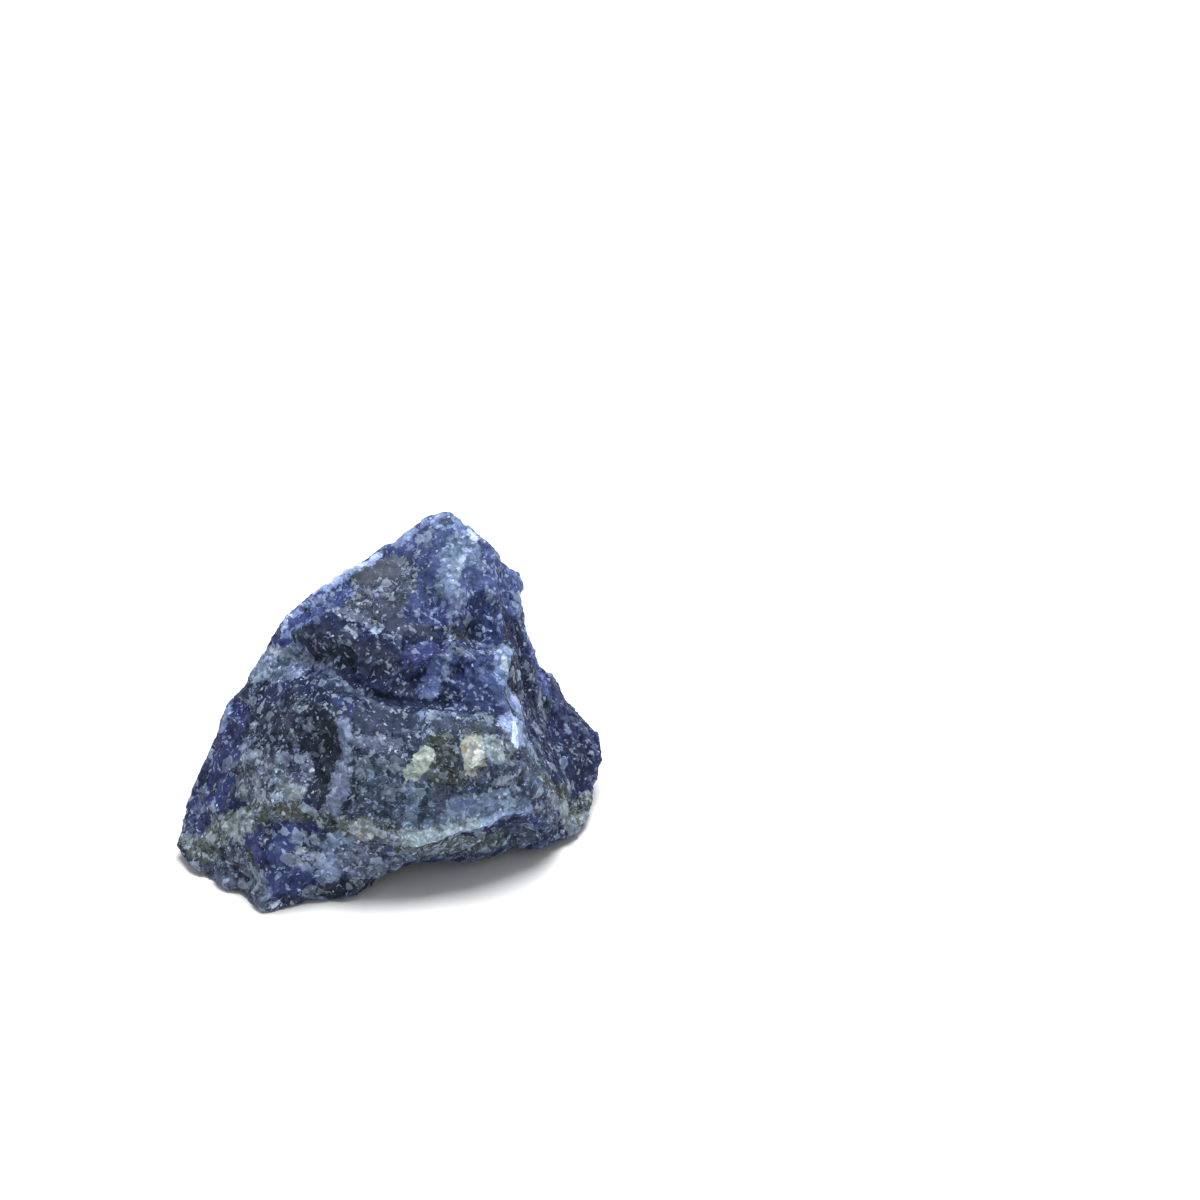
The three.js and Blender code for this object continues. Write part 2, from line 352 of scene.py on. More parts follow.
@dataclass
class BrokenSkin:
    """The stone's outside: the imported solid's shape, remeshed finely, then chipped and grained."""

    body: str = "root"
    voxel: float = 0.31
    softening_passes: int = 8
    sole_band: float = 0.08
    chippings: tuple[Chipping, ...] = (
        Chipping(count=260, narrowest=1.6, widest=3.6, deepest=0.24, lean=0.16, seed=3),
        Chipping(count=1500, narrowest=0.8, widest=1.8, deepest=0.14, lean=0.2, seed=5),
        Chipping(count=3000, narrowest=0.5, widest=1.0, deepest=0.06, lean=0.25, seed=8),
    )
    chip_passes: int = 3
    lines: tuple[Line, ...] = (
        # the groove at the foot of the slab, and the hole beside its end
        Line(((-11, -4.8, 26.5), (-7, -7, 26.5), (-4, -9, 26), (0, -10.7, 25), (5, -11.5, 24.5)), 0.9, 0.3),
        Line(((5, -11.5, 24.5), (9, -11, 25.5)), 0.7, 0.5),
        Line(((9.5, -8.5, 28), (9, -9, 27)), 1.1, 1.1),
        # the crests that catch the light
        Line(((-13, -1, 28), (-11, 0.5, 31), (-8, 1, 33), (-4, 2, 35.5), (-1, 3, 37)), 1.1, -0.5),
        Line(((8.5, -1, 37.5), (8.5, -4, 35), (8.5, -7.5, 31), (8.5, -7.5, 29), (8, -9, 27)), 1.0, -0.45),
        Line(((-4, -15.5, 23), (-4, -18.5, 16.5), (-6, -19, 13)), 1.0, -0.35),
        Line(((1, -20, 10.5), (5, -20, 9.5), (13, -18, 11.5), (18, -15.5, 11.5)), 0.9, -0.45),
        Line(((-14.5, -1, 26), (-10, -6, 27.3), (-5, -8, 26.8), (-2, -12.5, 25.3)), 0.9, -0.3),
        # the swellings of the right edge, of the right foot and of the left foot
        Line(((15.8, 5.2, 31), (16.4, 4.6, 28.2), (17.1, 3.6, 24.3), (17.9, 3.5, 20.5)), 3.6, -1.1),
        Line(((25, -5, 1.5), (22, -8.5, 1.5), (18, -11.5, 3)), 2.6, -0.6),
        Line(((-20, -17, 1.2), (-17, -19.3, 1.2), (-15.2, -21.2, 1.2)), 2.2, -0.6),
    )
    line_passes: int = 4
    line_core: float = 0.15
    width_unevenness: Unevenness = Unevenness(share=0.35, size=1.3, salt=41)
    depth_unevenness: Unevenness = Unevenness(share=0.4, size=2.1, salt=43)
    grains: tuple[GrainRelief, ...] = (
        GrainRelief(size=3.4, lean=0.07, height=0.05, parting=0.02, lost=0.0, salt=11),
        GrainRelief(size=1.7, lean=0.08, height=0.03, parting=0.015, lost=0.04, salt=17),
        GrainRelief(size=0.85, lean=0.08, height=0.015, parting=0.01, lost=0.06, salt=23),
    )
    splinters: Splintering = Splintering()
    edge_hollow_passes: int = 14
    edge_hollow_from: float = 0.03
    edge_hollow_full: float = 0.22

    def build(self, cad: bpy.types.Object) -> bpy.types.Object:
        """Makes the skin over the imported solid.

        Args:
            cad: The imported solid's object.

        Returns:
            The skin's object, riding on the stone's body in place of the solid.
        """
        skin = put_in_scene(SKIN, self.remeshed(cad))
        shape = SkinMesh(skin.data)
        sole = shape.points[:, 2] < self.sole_band
        shape.points = shape.averaged(shape.points, self.softening_passes)
        for line in self.lines:
            self.press_line(shape, line)
        for chipping in self.chippings:
            self.chip(shape, chipping)
        for grain in self.grains:
            self.raise_grains(shape, grain)
        self.splinter(shape)
        shape.points[sole, 2] = 0.0
        shape.points[:, 2] = np.maximum(shape.points[:, 2], 0.0)
        self.note_edges_and_hollows(shape)
        shape.write()
        skin.data.polygons.foreach_set("use_smooth", np.ones(len(skin.data.polygons), bool))
        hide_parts(NODE)
        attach(skin, self.body)
        return skin

    def remeshed(self, cad: bpy.types.Object) -> bpy.types.Mesh:
        """Makes an evenly fine copy of the solid's mesh.

        Args:
            cad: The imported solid's object, which stays as it is.

        Returns:
            A new mesh of quads without a material.
        """
        base = put_in_scene("remesh_base", cad.data.copy())
        modifier = base.modifiers.new("even", "REMESH")
        modifier.mode = "VOXEL"
        modifier.voxel_size = self.voxel * MM
        graph = bpy.context.evaluated_depsgraph_get()
        mesh = bpy.data.meshes.new_from_object(base.evaluated_get(graph))
        mesh.name = SKIN
        mesh.materials.clear()
        bpy.data.objects.remove(base)
        return mesh

    def press_line(self, shape: SkinMesh, line: Line) -> None:
        """Presses a groove into the skin, or raises a crest on it, with an uneven width.

        Args:
            shape: The skin, whose points are moved.
            line: The groove or crest.
        """
        reach = np.full(len(shape.points), np.inf)
        path = np.array(line.path, float)
        for start, end in zip(path[:-1], path[1:]):
            way = end - start
            along = np.clip((shape.points - start) @ way / np.sum(way**2), 0, 1)
            off = shape.points - start - along[:, None] * way
            reach = np.minimum(reach, np.linalg.norm(off, axis=1))
        width = line.width * self.width_unevenness.over(shape.points)
        depth = line.depth * self.depth_unevenness.over(shape.points)
        press = depth * (1 - smooth_step(reach / width, self.line_core, 1.0))
        shape.points -= press[:, None] * shape.averaged(shape.normals(), self.line_passes)

    def chip(self, shape: SkinMesh, chipping: Chipping) -> None:
        """Splits small flats off the skin.

        Args:
            shape: The skin, whose points are moved.
            chipping: The size and number of the chips.
        """
        rng = np.random.default_rng(chipping.seed)
        facing = shape.averaged(shape.normals(), self.chip_passes)
        facing /= np.linalg.norm(facing, axis=1, keepdims=True)
        tree = kdtree.KDTree(len(shape.points))
        for index, point in enumerate(shape.points):
            tree.insert(point, index)
        tree.balance()
        for index in rng.integers(len(shape.points), size=chipping.count):
            normal = facing[index] + chipping.lean * rng.uniform(-1, 1, 3)
            normal /= np.linalg.norm(normal)
            middle = shape.points[index] - normal * rng.uniform(0, chipping.deepest)
            reach = rng.uniform(chipping.narrowest, chipping.widest)
            near = np.array([hit[1] for hit in tree.find_range(shape.points[index], reach)])
            above = np.clip((shape.points[near] - middle) @ normal, 0, chipping.deepest)
            shape.points[near] -= above[:, None] * normal

    def raise_grains(self, shape: SkinMesh, grain: GrainRelief) -> None:
        """Gives each grain of the rock its own leaning face, and lets a few fall out.

        Args:
            shape: The skin, whose points are moved.
            grain: The size and relief of the grains.
        """
        cells = nearest_cells(shape.points, grain.size, grain.salt)
        lean = (random_ways(cells.cell, grain.lean_salt) - MIDDLE) * 2 * grain.lean
        height = np.einsum("ij,ij->i", shape.points - cells.seed, lean)
        height += (random_of_cells(cells.cell, grain.height_salt) - MIDDLE) * 2 * grain.height
        height -= grain.parting * (1 - smooth_step(cells.border, 0.0, grain.parting_reach * grain.size))
        height -= grain.lost_depth * (random_of_cells(cells.cell, grain.lost_salt) < grain.lost)
        shape.points += height[:, None] * shape.normals()

    def splinter(self, shape: SkinMesh) -> None:
        """Covers one side with long splinters that run down it.

        Args:
            shape: The skin, whose points are moved.
        """
        kind = self.splinters
        way = np.array(kind.way) / np.linalg.norm(kind.way)
        along = shape.points @ way
        squashed = shape.points - np.outer(along * (1 - 1 / kind.stretch), way)
        share = smooth_step(shape.points @ np.array(kind.side), kind.starts_at, kind.full_at)
        ridges = 1 - 2 * np.abs(soft_noise(squashed, kind.width, kind.salt))
        ridges += kind.finer * soft_noise(squashed, kind.finer * kind.width, kind.finer_salt)
        shape.points += (kind.height * share * ridges)[:, None] * shape.normals()

    def dress(self, skin: bpy.types.Object, finish: Sodalite) -> None:
        """Gives the skin its finish."""
        skin.data.materials.append(finish.build())

    def note_edges_and_hollows(self, shape: SkinMesh) -> None:
        """Notes how far each point stands above or below the skin round it, for the material.

        Args:
            shape: The skin, which keeps the notes.
        """
        calm = shape.averaged(shape.points, self.edge_hollow_passes)
        stand = np.einsum("ij,ij->i", shape.points - calm, shape.normals())
        # the edge note lightens crests (partly a painted highlight); the hollow note is where the material
        # paints shade
        for shape_note, rise in ((ShapeNote.EDGE, stand), (ShapeNote.HOLLOW, -stand)):
            shape.note(shape_note.value, smooth_step(rise, self.edge_hollow_from, self.edge_hollow_full))


# ---------------------------------------------------------------------------------------------
# Wiring of shader nodes
# ---------------------------------------------------------------------------------------------


class Kind(Enum):
    """The kinds of value that a group of nodes takes in or gives out."""

    NUMBER = "NodeSocketFloat"
    PLACE = "NodeSocketVector"
    COLOUR = "NodeSocketColor"


class Blend(Enum):
    """What a mixing node mixes: its data type, then the numbers of its two inputs and its output."""

    COLOURS = ("RGBA", 6, 7, 2)
    PLACES = ("VECTOR", 4, 5, 1)


# The curve from a screen's colour to its light: a straight foot, and a power above it.
FOOT_END = 0.04045
FOOT_SLOPE = 12.92
CURVE_LIFT = 0.055
CURVE_POWER = 2.4


def linear(tone: str) -> Tone:
    """Turns a colour into the linear light that shaders use.

    Args:
        tone: The colour, written as #rrggbb.

    Returns:
        Red, green and blue light, and a full alpha.
    """
    parts = (int(tone[i : i + 2], 16) / 255 for i in (1, 3, 5))
    red, green, blue = (
        part / FOOT_SLOPE if part <= FOOT_END else ((part + CURVE_LIFT) / (1 + CURVE_LIFT)) ** CURVE_POWER
        for part in parts
    )
    return red, green, blue, 1.0


class Wiring:
    """Lays nodes in one shader tree and joins them."""

    def __init__(self, tree: bpy.types.NodeTree) -> None:
        """Takes the tree to work in."""
        self.tree = tree

    def feed(self, socket: Socket, value: Value) -> None:
        """Joins a socket to another, or sets its value.

        Args:
            socket: The input to feed.
            value: A socket, or a value of the input's own kind.
        """
        if isinstance(value, Socket):
            self.tree.links.new(value, socket)
        else:
            socket.default_value = value

    def node(self, kind: str, **values: Value) -> bpy.types.Node:
        """Adds a node and feeds the sockets that are named.

        Args:
            kind: The node's type.
            **values: What to feed, by the name of the socket.

        Returns:
            The node.
        """
        node = self.tree.nodes.new(kind)
        for label, value in values.items():
            self.feed(node.inputs[label], value)
        return node

    def maths(self, operation: str, *values: Value) -> Socket:
        """Adds a sum of numbers.

        Args:
            operation: The kind of sum.
            *values: The numbers that go in.

        Returns:
            The sum's result.
        """
        node = self.tree.nodes.new("ShaderNodeMath")
        node.operation = operation
        for socket, value in zip(node.inputs, values):
            self.feed(socket, value)
        return node.outputs[0]

    def vector(self, operation: str, *values: Value) -> Socket:
        """Adds a sum of vectors.

        Args:
            operation: The kind of sum.
            *values: The vectors that go in, or a vector and a number for a SCALE.

        Returns:
            The sum's result, a number for a LENGTH or DOT_PRODUCT.
        """
        node = self.tree.nodes.new("ShaderNodeVectorMath")
        node.operation = operation
        sockets = [node.inputs[0], node.inputs["Scale"]] if operation == "SCALE" else node.inputs
        for socket, value in zip(sockets, values):
            self.feed(socket, value)
        number = operation in ("LENGTH", "DOT_PRODUCT")
        return node.outputs["Value" if number else "Vector"]

    def mix(self, share: Value, first: Value, second: Value, blend: Blend = Blend.PLACES) -> Socket:
        """Mixes two colours or two vectors.

        Args:
            share: How much of the second there is, from 0 to 1.
            first: What is there without the second.
            second: What comes in.
            blend: Whether they are colours or vectors.

        Returns:
            The mixture.
        """
        kind, first_index, second_index, output_index = blend.value
        node = self.tree.nodes.new("ShaderNodeMix")
        node.data_type = kind
        for index, value in ((0, share), (first_index, first), (second_index, second)):
            self.feed(node.inputs[index], value)
        return node.outputs[output_index]

    def lit(self, colour: Value, ground: Value, glow: str, mask: Value, strength: float) -> Socket:
        """Lightens a colour where the mask is: the ground with the glow added comes in over it."""
        pale = self.vector("ADD", ground, linear(glow)[:3])
        return self.mix(self.maths("MULTIPLY", mask, strength), colour, pale)

    def sunk(self, colour: Value, dark: str, mask: Value, strength: float) -> Socket:
        """Darkens a colour where the mask is: the dark tone comes in over it."""
        return self.mix(self.maths("MULTIPLY", mask, strength), colour, linear(dark)[:3])

    def rise(self, value: Value, low: Value, high: Value) -> Socket:
        """Rises gently from 0 where the value is low to 1 where it is high.

        Args:
            value: The number to follow.
            low: Where the rise starts.
            high: Where the rise ends.

        Returns:
            The risen number.
        """
        node = self.tree.nodes.new("ShaderNodeMapRange")
        node.interpolation_type = "SMOOTHSTEP"
        node.clamp = False
        for index, given in enumerate((value, low, high)):
            self.feed(node.inputs[index], given)
        return node.outputs[0]

    def as_place(self, colour: Value) -> Socket:
        """Reads a colour as a vector."""
        parts = self.node("ShaderNodeSeparateColor", Color=colour).outputs
        return self.node("ShaderNodeCombineXYZ", X=parts[0], Y=parts[1], Z=parts[2]).outputs[0]

    def drawn_out(self, point: Value, way: Value, stretch: Value) -> Socket:
        """Squashes points along a direction, so that what is drawn by them is stretched along it.

        Args:
            point: The points.
            way: The direction.
            stretch: How many times as long as wide things become.

        Returns:
            The squashed points.
        """
        along = self.vector("DOT_PRODUCT", point, way)
        kept = self.maths("SUBTRACT", self.maths("DIVIDE", 1.0, stretch), 1.0)
        shift = self.vector("SCALE", way, self.maths("MULTIPLY", along, kept))
        return self.vector("ADD", point, shift)

    def in_widths(self, point: Value, width: Value) -> Socket:
        """Measures points in widths, so that what is drawn 1 wide by them is as wide as given."""
        return self.vector("SCALE", point, self.maths("DIVIDE", 1.0, width))

    def shaken(self, point: Value, width: float, detail: float, amount: Value) -> Socket:
        """Moves points about by noise.

        Args:
            point: The points.
            width: How wide the noise's lumps are.
            detail: How fine its finest lumps are.
            amount: How far the points move.

        Returns:
            The moved points.
        """
        noise = self.as_place(self.noise(point, width, detail).outputs["Color"])
        shift = self.vector("SCALE", self.vector("SUBTRACT", noise, (MIDDLE,) * 3), amount)
        return self.vector("ADD", point, shift)

    def noise(self, point: Value, width: float, detail: float) -> bpy.types.Node:
        """Adds smooth noise whose lumps are about as wide as given."""
        return self.node("ShaderNodeTexNoise", Vector=point, Scale=1 / width, Detail=detail)

    def cells(self, point: Value, width: Value, feature: str = "F1") -> bpy.types.Node:
        """Adds a packing of grains.

        Args:
            point: The points that are packed.
            width: About how wide a grain is.
            feature: What the packing tells of each grain.

        Returns:
            The packing's node.
        """
        scale = self.maths("DIVIDE", 1.0, width) if isinstance(width, Socket) else 1 / width
        node = self.node("ShaderNodeTexVoronoi", Vector=point, Scale=scale)
        node.feature = feature
        return node


class Effect:
    """A group of nodes that is built once and placed in a finish as often as it is needed."""

    name: str = ""
    takes: tuple[tuple[str, Kind], ...] = ()
    gives: tuple[tuple[str, Kind], ...] = ()

    def lay(self, wiring: Wiring, given: Sockets) -> dict[str, Value]:
        """Lays the group's nodes between the sockets it is given and those it gives."""
        raise NotImplementedError

    def tree(self) -> bpy.types.NodeTree:
        """Builds the group on its first use.

        Returns:
            The group.
        """
        known = bpy.data.node_groups.get(self.name)
        if known:
            return known
        tree = bpy.data.node_groups.new(self.name, "ShaderNodeTree")
        for way, sockets in (("INPUT", self.takes), ("OUTPUT", self.gives)):
            for label, kind in sockets:
                tree.interface.new_socket(label, in_out=way, socket_type=kind.value)
        start = tree.nodes.new("NodeGroupInput")
        end = tree.nodes.new("NodeGroupOutput")
        made = self.lay(Wiring(tree), {label: start.outputs[label] for label, _ in self.takes})
        for label, socket in made.items():
            tree.links.new(socket, end.inputs[label])
        return tree

    def place(self, wiring: Wiring, **values: Value) -> Sockets:
        """Places the group in a tree and feeds it.

        Args:
            wiring: The tree.
            **values: What the group takes, by name.

        Returns:
            What the group gives, by name.
        """
        node = wiring.tree.nodes.new("ShaderNodeGroup")
        node.node_tree = self.tree()
        for label, value in values.items():
            wiring.feed(node.inputs[label], value)
        return {label: node.outputs[label] for label, _ in self.gives}


# ---------------------------------------------------------------------------------------------
# Effects of broken rock
# ---------------------------------------------------------------------------------------------


class RaggedPoint(Effect):
    """Moves points so that whatever is drawn by them gets wandering borders that follow grains."""

    name = "stone_ragged_point"
    takes = (("point", Kind.PLACE), ("grain", Kind.NUMBER), ("wander", Kind.NUMBER))
    gives = (("point", Kind.PLACE),)
    lump = 2.6
    detail = 4.0
    hold = 0.85

    def lay(self, wiring: Wiring, given: Sockets) -> dict[str, Value]:
        """Shakes each point and draws it most of the way to the seed of its grain.

        Args:
            wiring: The group's own tree.
            given: The points, the grains' width and how far the points move.

        Returns:
            The moved points.
        """
        shaken = wiring.shaken(given["point"], self.lump, self.detail, given["wander"])
        seed = wiring.cells(shaken, given["grain"]).outputs["Position"]
        return {"point": wiring.mix(self.hold, shaken, seed)}


class Ingrowth(Effect):
    """Lets a mineral come in over others. Each kind of ingrowth says where."""

    minerals = (
        ("colour", Kind.COLOUR), ("traits", Kind.PLACE),
        ("new colour", Kind.COLOUR), ("new traits", Kind.PLACE),
    )
    gives = (("colour", Kind.COLOUR), ("traits", Kind.PLACE))

    def grown(self, wiring: Wiring, given: Sockets, share: Value) -> dict[str, Value]:
        """Mixes the mineral in.

        Args:
            wiring: The group's own tree.
            given: The minerals so far and the new one.
            share: How much of the new one there is.

        Returns:
            The minerals with the new one among them.
        """
        return {
            "colour": wiring.mix(share, given["colour"], given["new colour"], Blend.COLOURS),
            "traits": wiring.mix(share, given["traits"], given["new traits"]),
        }


class Cloud(Ingrowth):
    """Lets a mineral come in wherever slow noise is high."""

    name = "stone_cloud"
    takes = (
        ("point", Kind.PLACE), ("start", Kind.PLACE), ("width", Kind.NUMBER), ("level", Kind.NUMBER),
    ) + Ingrowth.minerals
    softness = 0.03
    detail = 6.0

    def lay(self, wiring: Wiring, given: Sockets) -> dict[str, Value]:
        """Mixes the mineral in by noise.

        Args:
            wiring: The group's own tree.
            given: Where the noise starts, how wide and how high it is, and the minerals.

        Returns:
            The minerals with the new one among them.
        """
        place = wiring.vector("ADD", wiring.in_widths(given["point"], given["width"]), given["start"])
        noise = wiring.noise(place, 1.0, self.detail).outputs["Fac"]
        full = wiring.maths("ADD", given["level"], self.softness)
        return self.grown(wiring, given, wiring.rise(noise, given["level"], full))


class Patch(Ingrowth):
    """Lets a mineral come in near a line from start to end."""

    name = "stone_patch"
    takes = (
        ("point", Kind.PLACE), ("start", Kind.PLACE), ("end", Kind.PLACE), ("radius", Kind.NUMBER),
        ("strength", Kind.NUMBER),
    ) + Ingrowth.minerals
    core = 0.84
    least_length = 0.001

    def lay(self, wiring: Wiring, given: Sockets) -> dict[str, Value]:
        """Mixes the mineral in by the distance to the line.

        Args:
            wiring: The group's own tree.
            given: The line, how far and how strongly the mineral reaches, and the minerals.

        Returns:
            The minerals with the new one among them.
        """
        line = wiring.vector("SUBTRACT", given["end"], given["start"])
        away = wiring.vector("SUBTRACT", given["point"], given["start"])
        length = wiring.maths("ADD", wiring.vector("DOT_PRODUCT", line, line), self.least_length)
        along = wiring.maths("DIVIDE", wiring.vector("DOT_PRODUCT", away, line), length)
        held = wiring.maths("MINIMUM", wiring.maths("MAXIMUM", along, 0.0), 1.0)
        off = wiring.vector("SUBTRACT", away, wiring.vector("SCALE", line, held))
        reach = wiring.maths("DIVIDE", wiring.vector("LENGTH", off), given["radius"])
        near = wiring.maths("SUBTRACT", 1.0, wiring.rise(reach, self.core, 1.0))
        return self.grown(wiring, given, wiring.maths("MULTIPLY", near, given["strength"]))


class Grains(Effect):
    """A packing of grains: a random number and a random tint each, and their leaning faces."""

    name = "stone_grains"
    takes = (("point", Kind.PLACE), ("width", Kind.NUMBER))
    gives = (("tone", Kind.NUMBER), ("tint", Kind.PLACE), ("height", Kind.NUMBER))

    def lay(self, wiring: Wiring, given: Sockets) -> dict[str, Value]:
        """Packs the grains and leans the face of each its own way.

        Args:
            wiring: The group's own tree.
            given: The points and the grains' width.

        Returns:
            Each grain's random number and tint, and how high its face stands.
        """
        grain = wiring.cells(given["point"], given["width"])
        parts = wiring.node("ShaderNodeSeparateColor", Color=grain.outputs["Color"]).outputs
        chance = wiring.node("ShaderNodeCombineXYZ", X=parts[0], Y=parts[1], Z=parts[2]).outputs[0]
        away = wiring.vector("SUBTRACT", given["point"], grain.outputs["Position"])
        lean = wiring.vector("SUBTRACT", chance, (MIDDLE,) * 3)
        return {"tone": parts[0], "tint": lean, "height": wiring.vector("DOT_PRODUCT", away, lean)}


class Drawn(Effect):
    """Marks of one width, drawn out along one direction."""

    takes = (("point", Kind.PLACE), ("width", Kind.NUMBER), ("way", Kind.PLACE), ("stretch", Kind.NUMBER))

    def drawn_place(self, wiring: Wiring, given: Sockets) -> Socket:
        """Gives the place in widths of a mark, drawn out along the marks' direction."""
        drawn = wiring.drawn_out(given["point"], given["way"], given["stretch"])
        return wiring.in_widths(drawn, given["width"])


class Flakes(Drawn):
    """Drawn marks that cover a share of the rock."""

    takes = Drawn.takes + (("share", Kind.NUMBER),)
    gives = (("mask", Kind.NUMBER),)


class Plates(Flakes):
    """Angular pale plates: some grains of one packing, each with its own brightness."""

    name = "stone_plates"
    fray_width = 0.45
    fray_detail = 1.0
    fray = 0.42
    gap_from = 0.03
    gap_full = 0.06
    upper = (0.25, -0.3, 0.6)
    dimmest = 0.4
    spread = 0.6
    shade = 0.25

    def lay(self, wiring: Wiring, given: Sockets) -> dict[str, Value]:
        """Frays the packing and picks grains by their random number.

        Args:
            wiring: The group's own tree.
            given: The points, and the plates' width, direction and share.

        Returns:
            How bright the plate at each point is.
        """
        place = self.drawn_place(wiring, given)
        frayed = wiring.shaken(place, self.fray_width, self.fray_detail, self.fray)
        grain = wiring.cells(frayed, 1.0)
        number = wiring.node("ShaderNodeSeparateColor", Color=grain.outputs["Color"])
        gap = wiring.cells(frayed, 1.0, "DISTANCE_TO_EDGE").outputs["Distance"]
        chosen = wiring.maths("LESS_THAN", number.outputs["Red"], given["share"])
        whole = wiring.maths("MULTIPLY", chosen, wiring.rise(gap, self.gap_from, self.gap_full))
        away = wiring.vector("SUBTRACT", frayed, grain.outputs["Position"])
        bright = wiring.maths("MULTIPLY_ADD", number.outputs["Green"], self.spread, self.dimmest)
        # painted shading: each plate is lighter towards its upper side
        shaded = wiring.maths("ADD", wiring.vector("DOT_PRODUCT", away, self.upper), bright)
        return {"mask": wiring.maths("MULTIPLY", whole, wiring.maths("MAXIMUM", shaded, self.shade))}


class Flecks(Flakes):
    """Small ragged islands with a brighter heart, where noise stands high."""

    name = "stone_flecks"
    detail = 2.0
    rarest = 0.685
    growth = 0.5
    brim = 0.016
    heart = 0.04
    heart_share = 0.4

    def lay(self, wiring: Wiring, given: Sockets) -> dict[str, Value]:
        """Cuts the noise at two levels, the lower the more flecks there are to be.

        Args:
            wiring: The group's own tree.
            given: The points, and the flecks' width, direction and share.

        Returns:
            How bright the fleck at each point is.
        """
        noise = wiring.noise(self.drawn_place(wiring, given), 1.0, self.detail).outputs["Fac"]
        level = wiring.maths("MULTIPLY_ADD", given["share"], -self.growth, self.rarest)
        island = wiring.rise(noise, level, wiring.maths("ADD", level, self.brim))
        inner = wiring.maths("ADD", level, self.heart)
        core = wiring.rise(noise, inner, wiring.maths("ADD", inner, self.brim))
        outer = wiring.maths("MULTIPLY", island, 1 - self.heart_share)
        return {"mask": wiring.maths("MULTIPLY_ADD", core, self.heart_share, outer)}


class Dashes(Effect):
    """Short thin curved lines, where slow noise crosses its middle value."""

    name = "stone_dashes"
    takes = (("point", Kind.PLACE), ("width", Kind.NUMBER), ("share", Kind.NUMBER))
    gives = (("mask", Kind.NUMBER),)
    detail = 2.0
    half_line = 0.022
    core = 0.4
    gate_start = (17.3, 4.1, 9.6)
    gate_width = 0.7
    gate_detail = 1.0
    rarest = 0.68
    growth = 0.2
    end = 0.06

    def lay(self, wiring: Wiring, given: Sockets) -> dict[str, Value]:
        """Draws the lines and keeps some stretches of them.

        Args:
            wiring: The group's own tree.
            given: The points, and the lines' spacing and share.

        Returns:
            Where the dashes are.
        """
        place = wiring.in_widths(given["point"], given["width"])
        slow = wiring.noise(place, 1.0, self.detail).outputs["Fac"]
        off = wiring.maths("ABSOLUTE", wiring.maths("SUBTRACT", slow, MIDDLE))
        line = wiring.maths("SUBTRACT", 1.0, wiring.rise(off, self.core * self.half_line, self.half_line))
        moved = wiring.vector("ADD", place, self.gate_start)
        gate = wiring.noise(moved, self.gate_width, self.gate_detail)
        least = wiring.maths("SUBTRACT", self.rarest, wiring.maths("MULTIPLY", given["share"], self.growth))
        kept = wiring.rise(gate.outputs["Fac"], least, wiring.maths("ADD", least, self.end))
        return {"mask": wiring.maths("MULTIPLY", line, kept)}


class Streaks(Drawn):
    """Long light and dark streaks, where drawn-out noise stands high and low."""

    name = "stone_streaks"
    gives = (("light", Kind.NUMBER), ("dark", Kind.NUMBER))
    detail = 3.0
    light_span = (0.57, 0.63)
    dark_span = (0.37, 0.45)

    def lay(self, wiring: Wiring, given: Sockets) -> dict[str, Value]:
        """Draws the noise out and keeps its highest and lowest parts.

        Args:
            wiring: The group's own tree.
            given: The points, and the streaks' width and direction.

        Returns:
            Where the light and the dark streaks are.
        """
        noise = wiring.noise(self.drawn_place(wiring, given), 1.0, self.detail).outputs["Fac"]
        return {
            "light": wiring.rise(noise, *self.light_span),
            "dark": wiring.maths("SUBTRACT", 1.0, wiring.rise(noise, *self.dark_span)),
        }


class EdgesAndHollowShade(Effect):
    """What the skin's shape tells of standing edges, which are lightened, and of hollows, where shade is
    painted.
    """

    name = "stone_edges_and_hollow_shade"
    gives = tuple((shape_note.value, Kind.NUMBER) for shape_note in ShapeNote)

    def lay(self, wiring: Wiring, given: Sockets) -> dict[str, Value]:
        """Reads the two numbers that the skin keeps at each point.

        Args:
            wiring: The group's own tree.
            given: Nothing.

        Returns:
            How far each point is an edge or a hollow.
        """
        made = {}
        for label, _ in self.gives:
            reader = wiring.tree.nodes.new("ShaderNodeAttribute")
            reader.attribute_name = label
            made[label] = reader.outputs["Fac"]
        return made


# ---------------------------------------------------------------------------------------------
# Minerals and where they lie, with painted highlights and painted shade among the spots
# ---------------------------------------------------------------------------------------------


@dataclass(frozen=True)
class Look:
    """How a mineral looks: its colour, how many pale flakes it holds, its roughness, its streaks."""

    tone: str
    flakes: float
    roughness: float
    streaks: float = 0.0

    @property
    def traits(self) -> Place:
        """The numbers that travel with the colour through the wiring."""
        return (self.flakes, self.roughness, self.streaks)


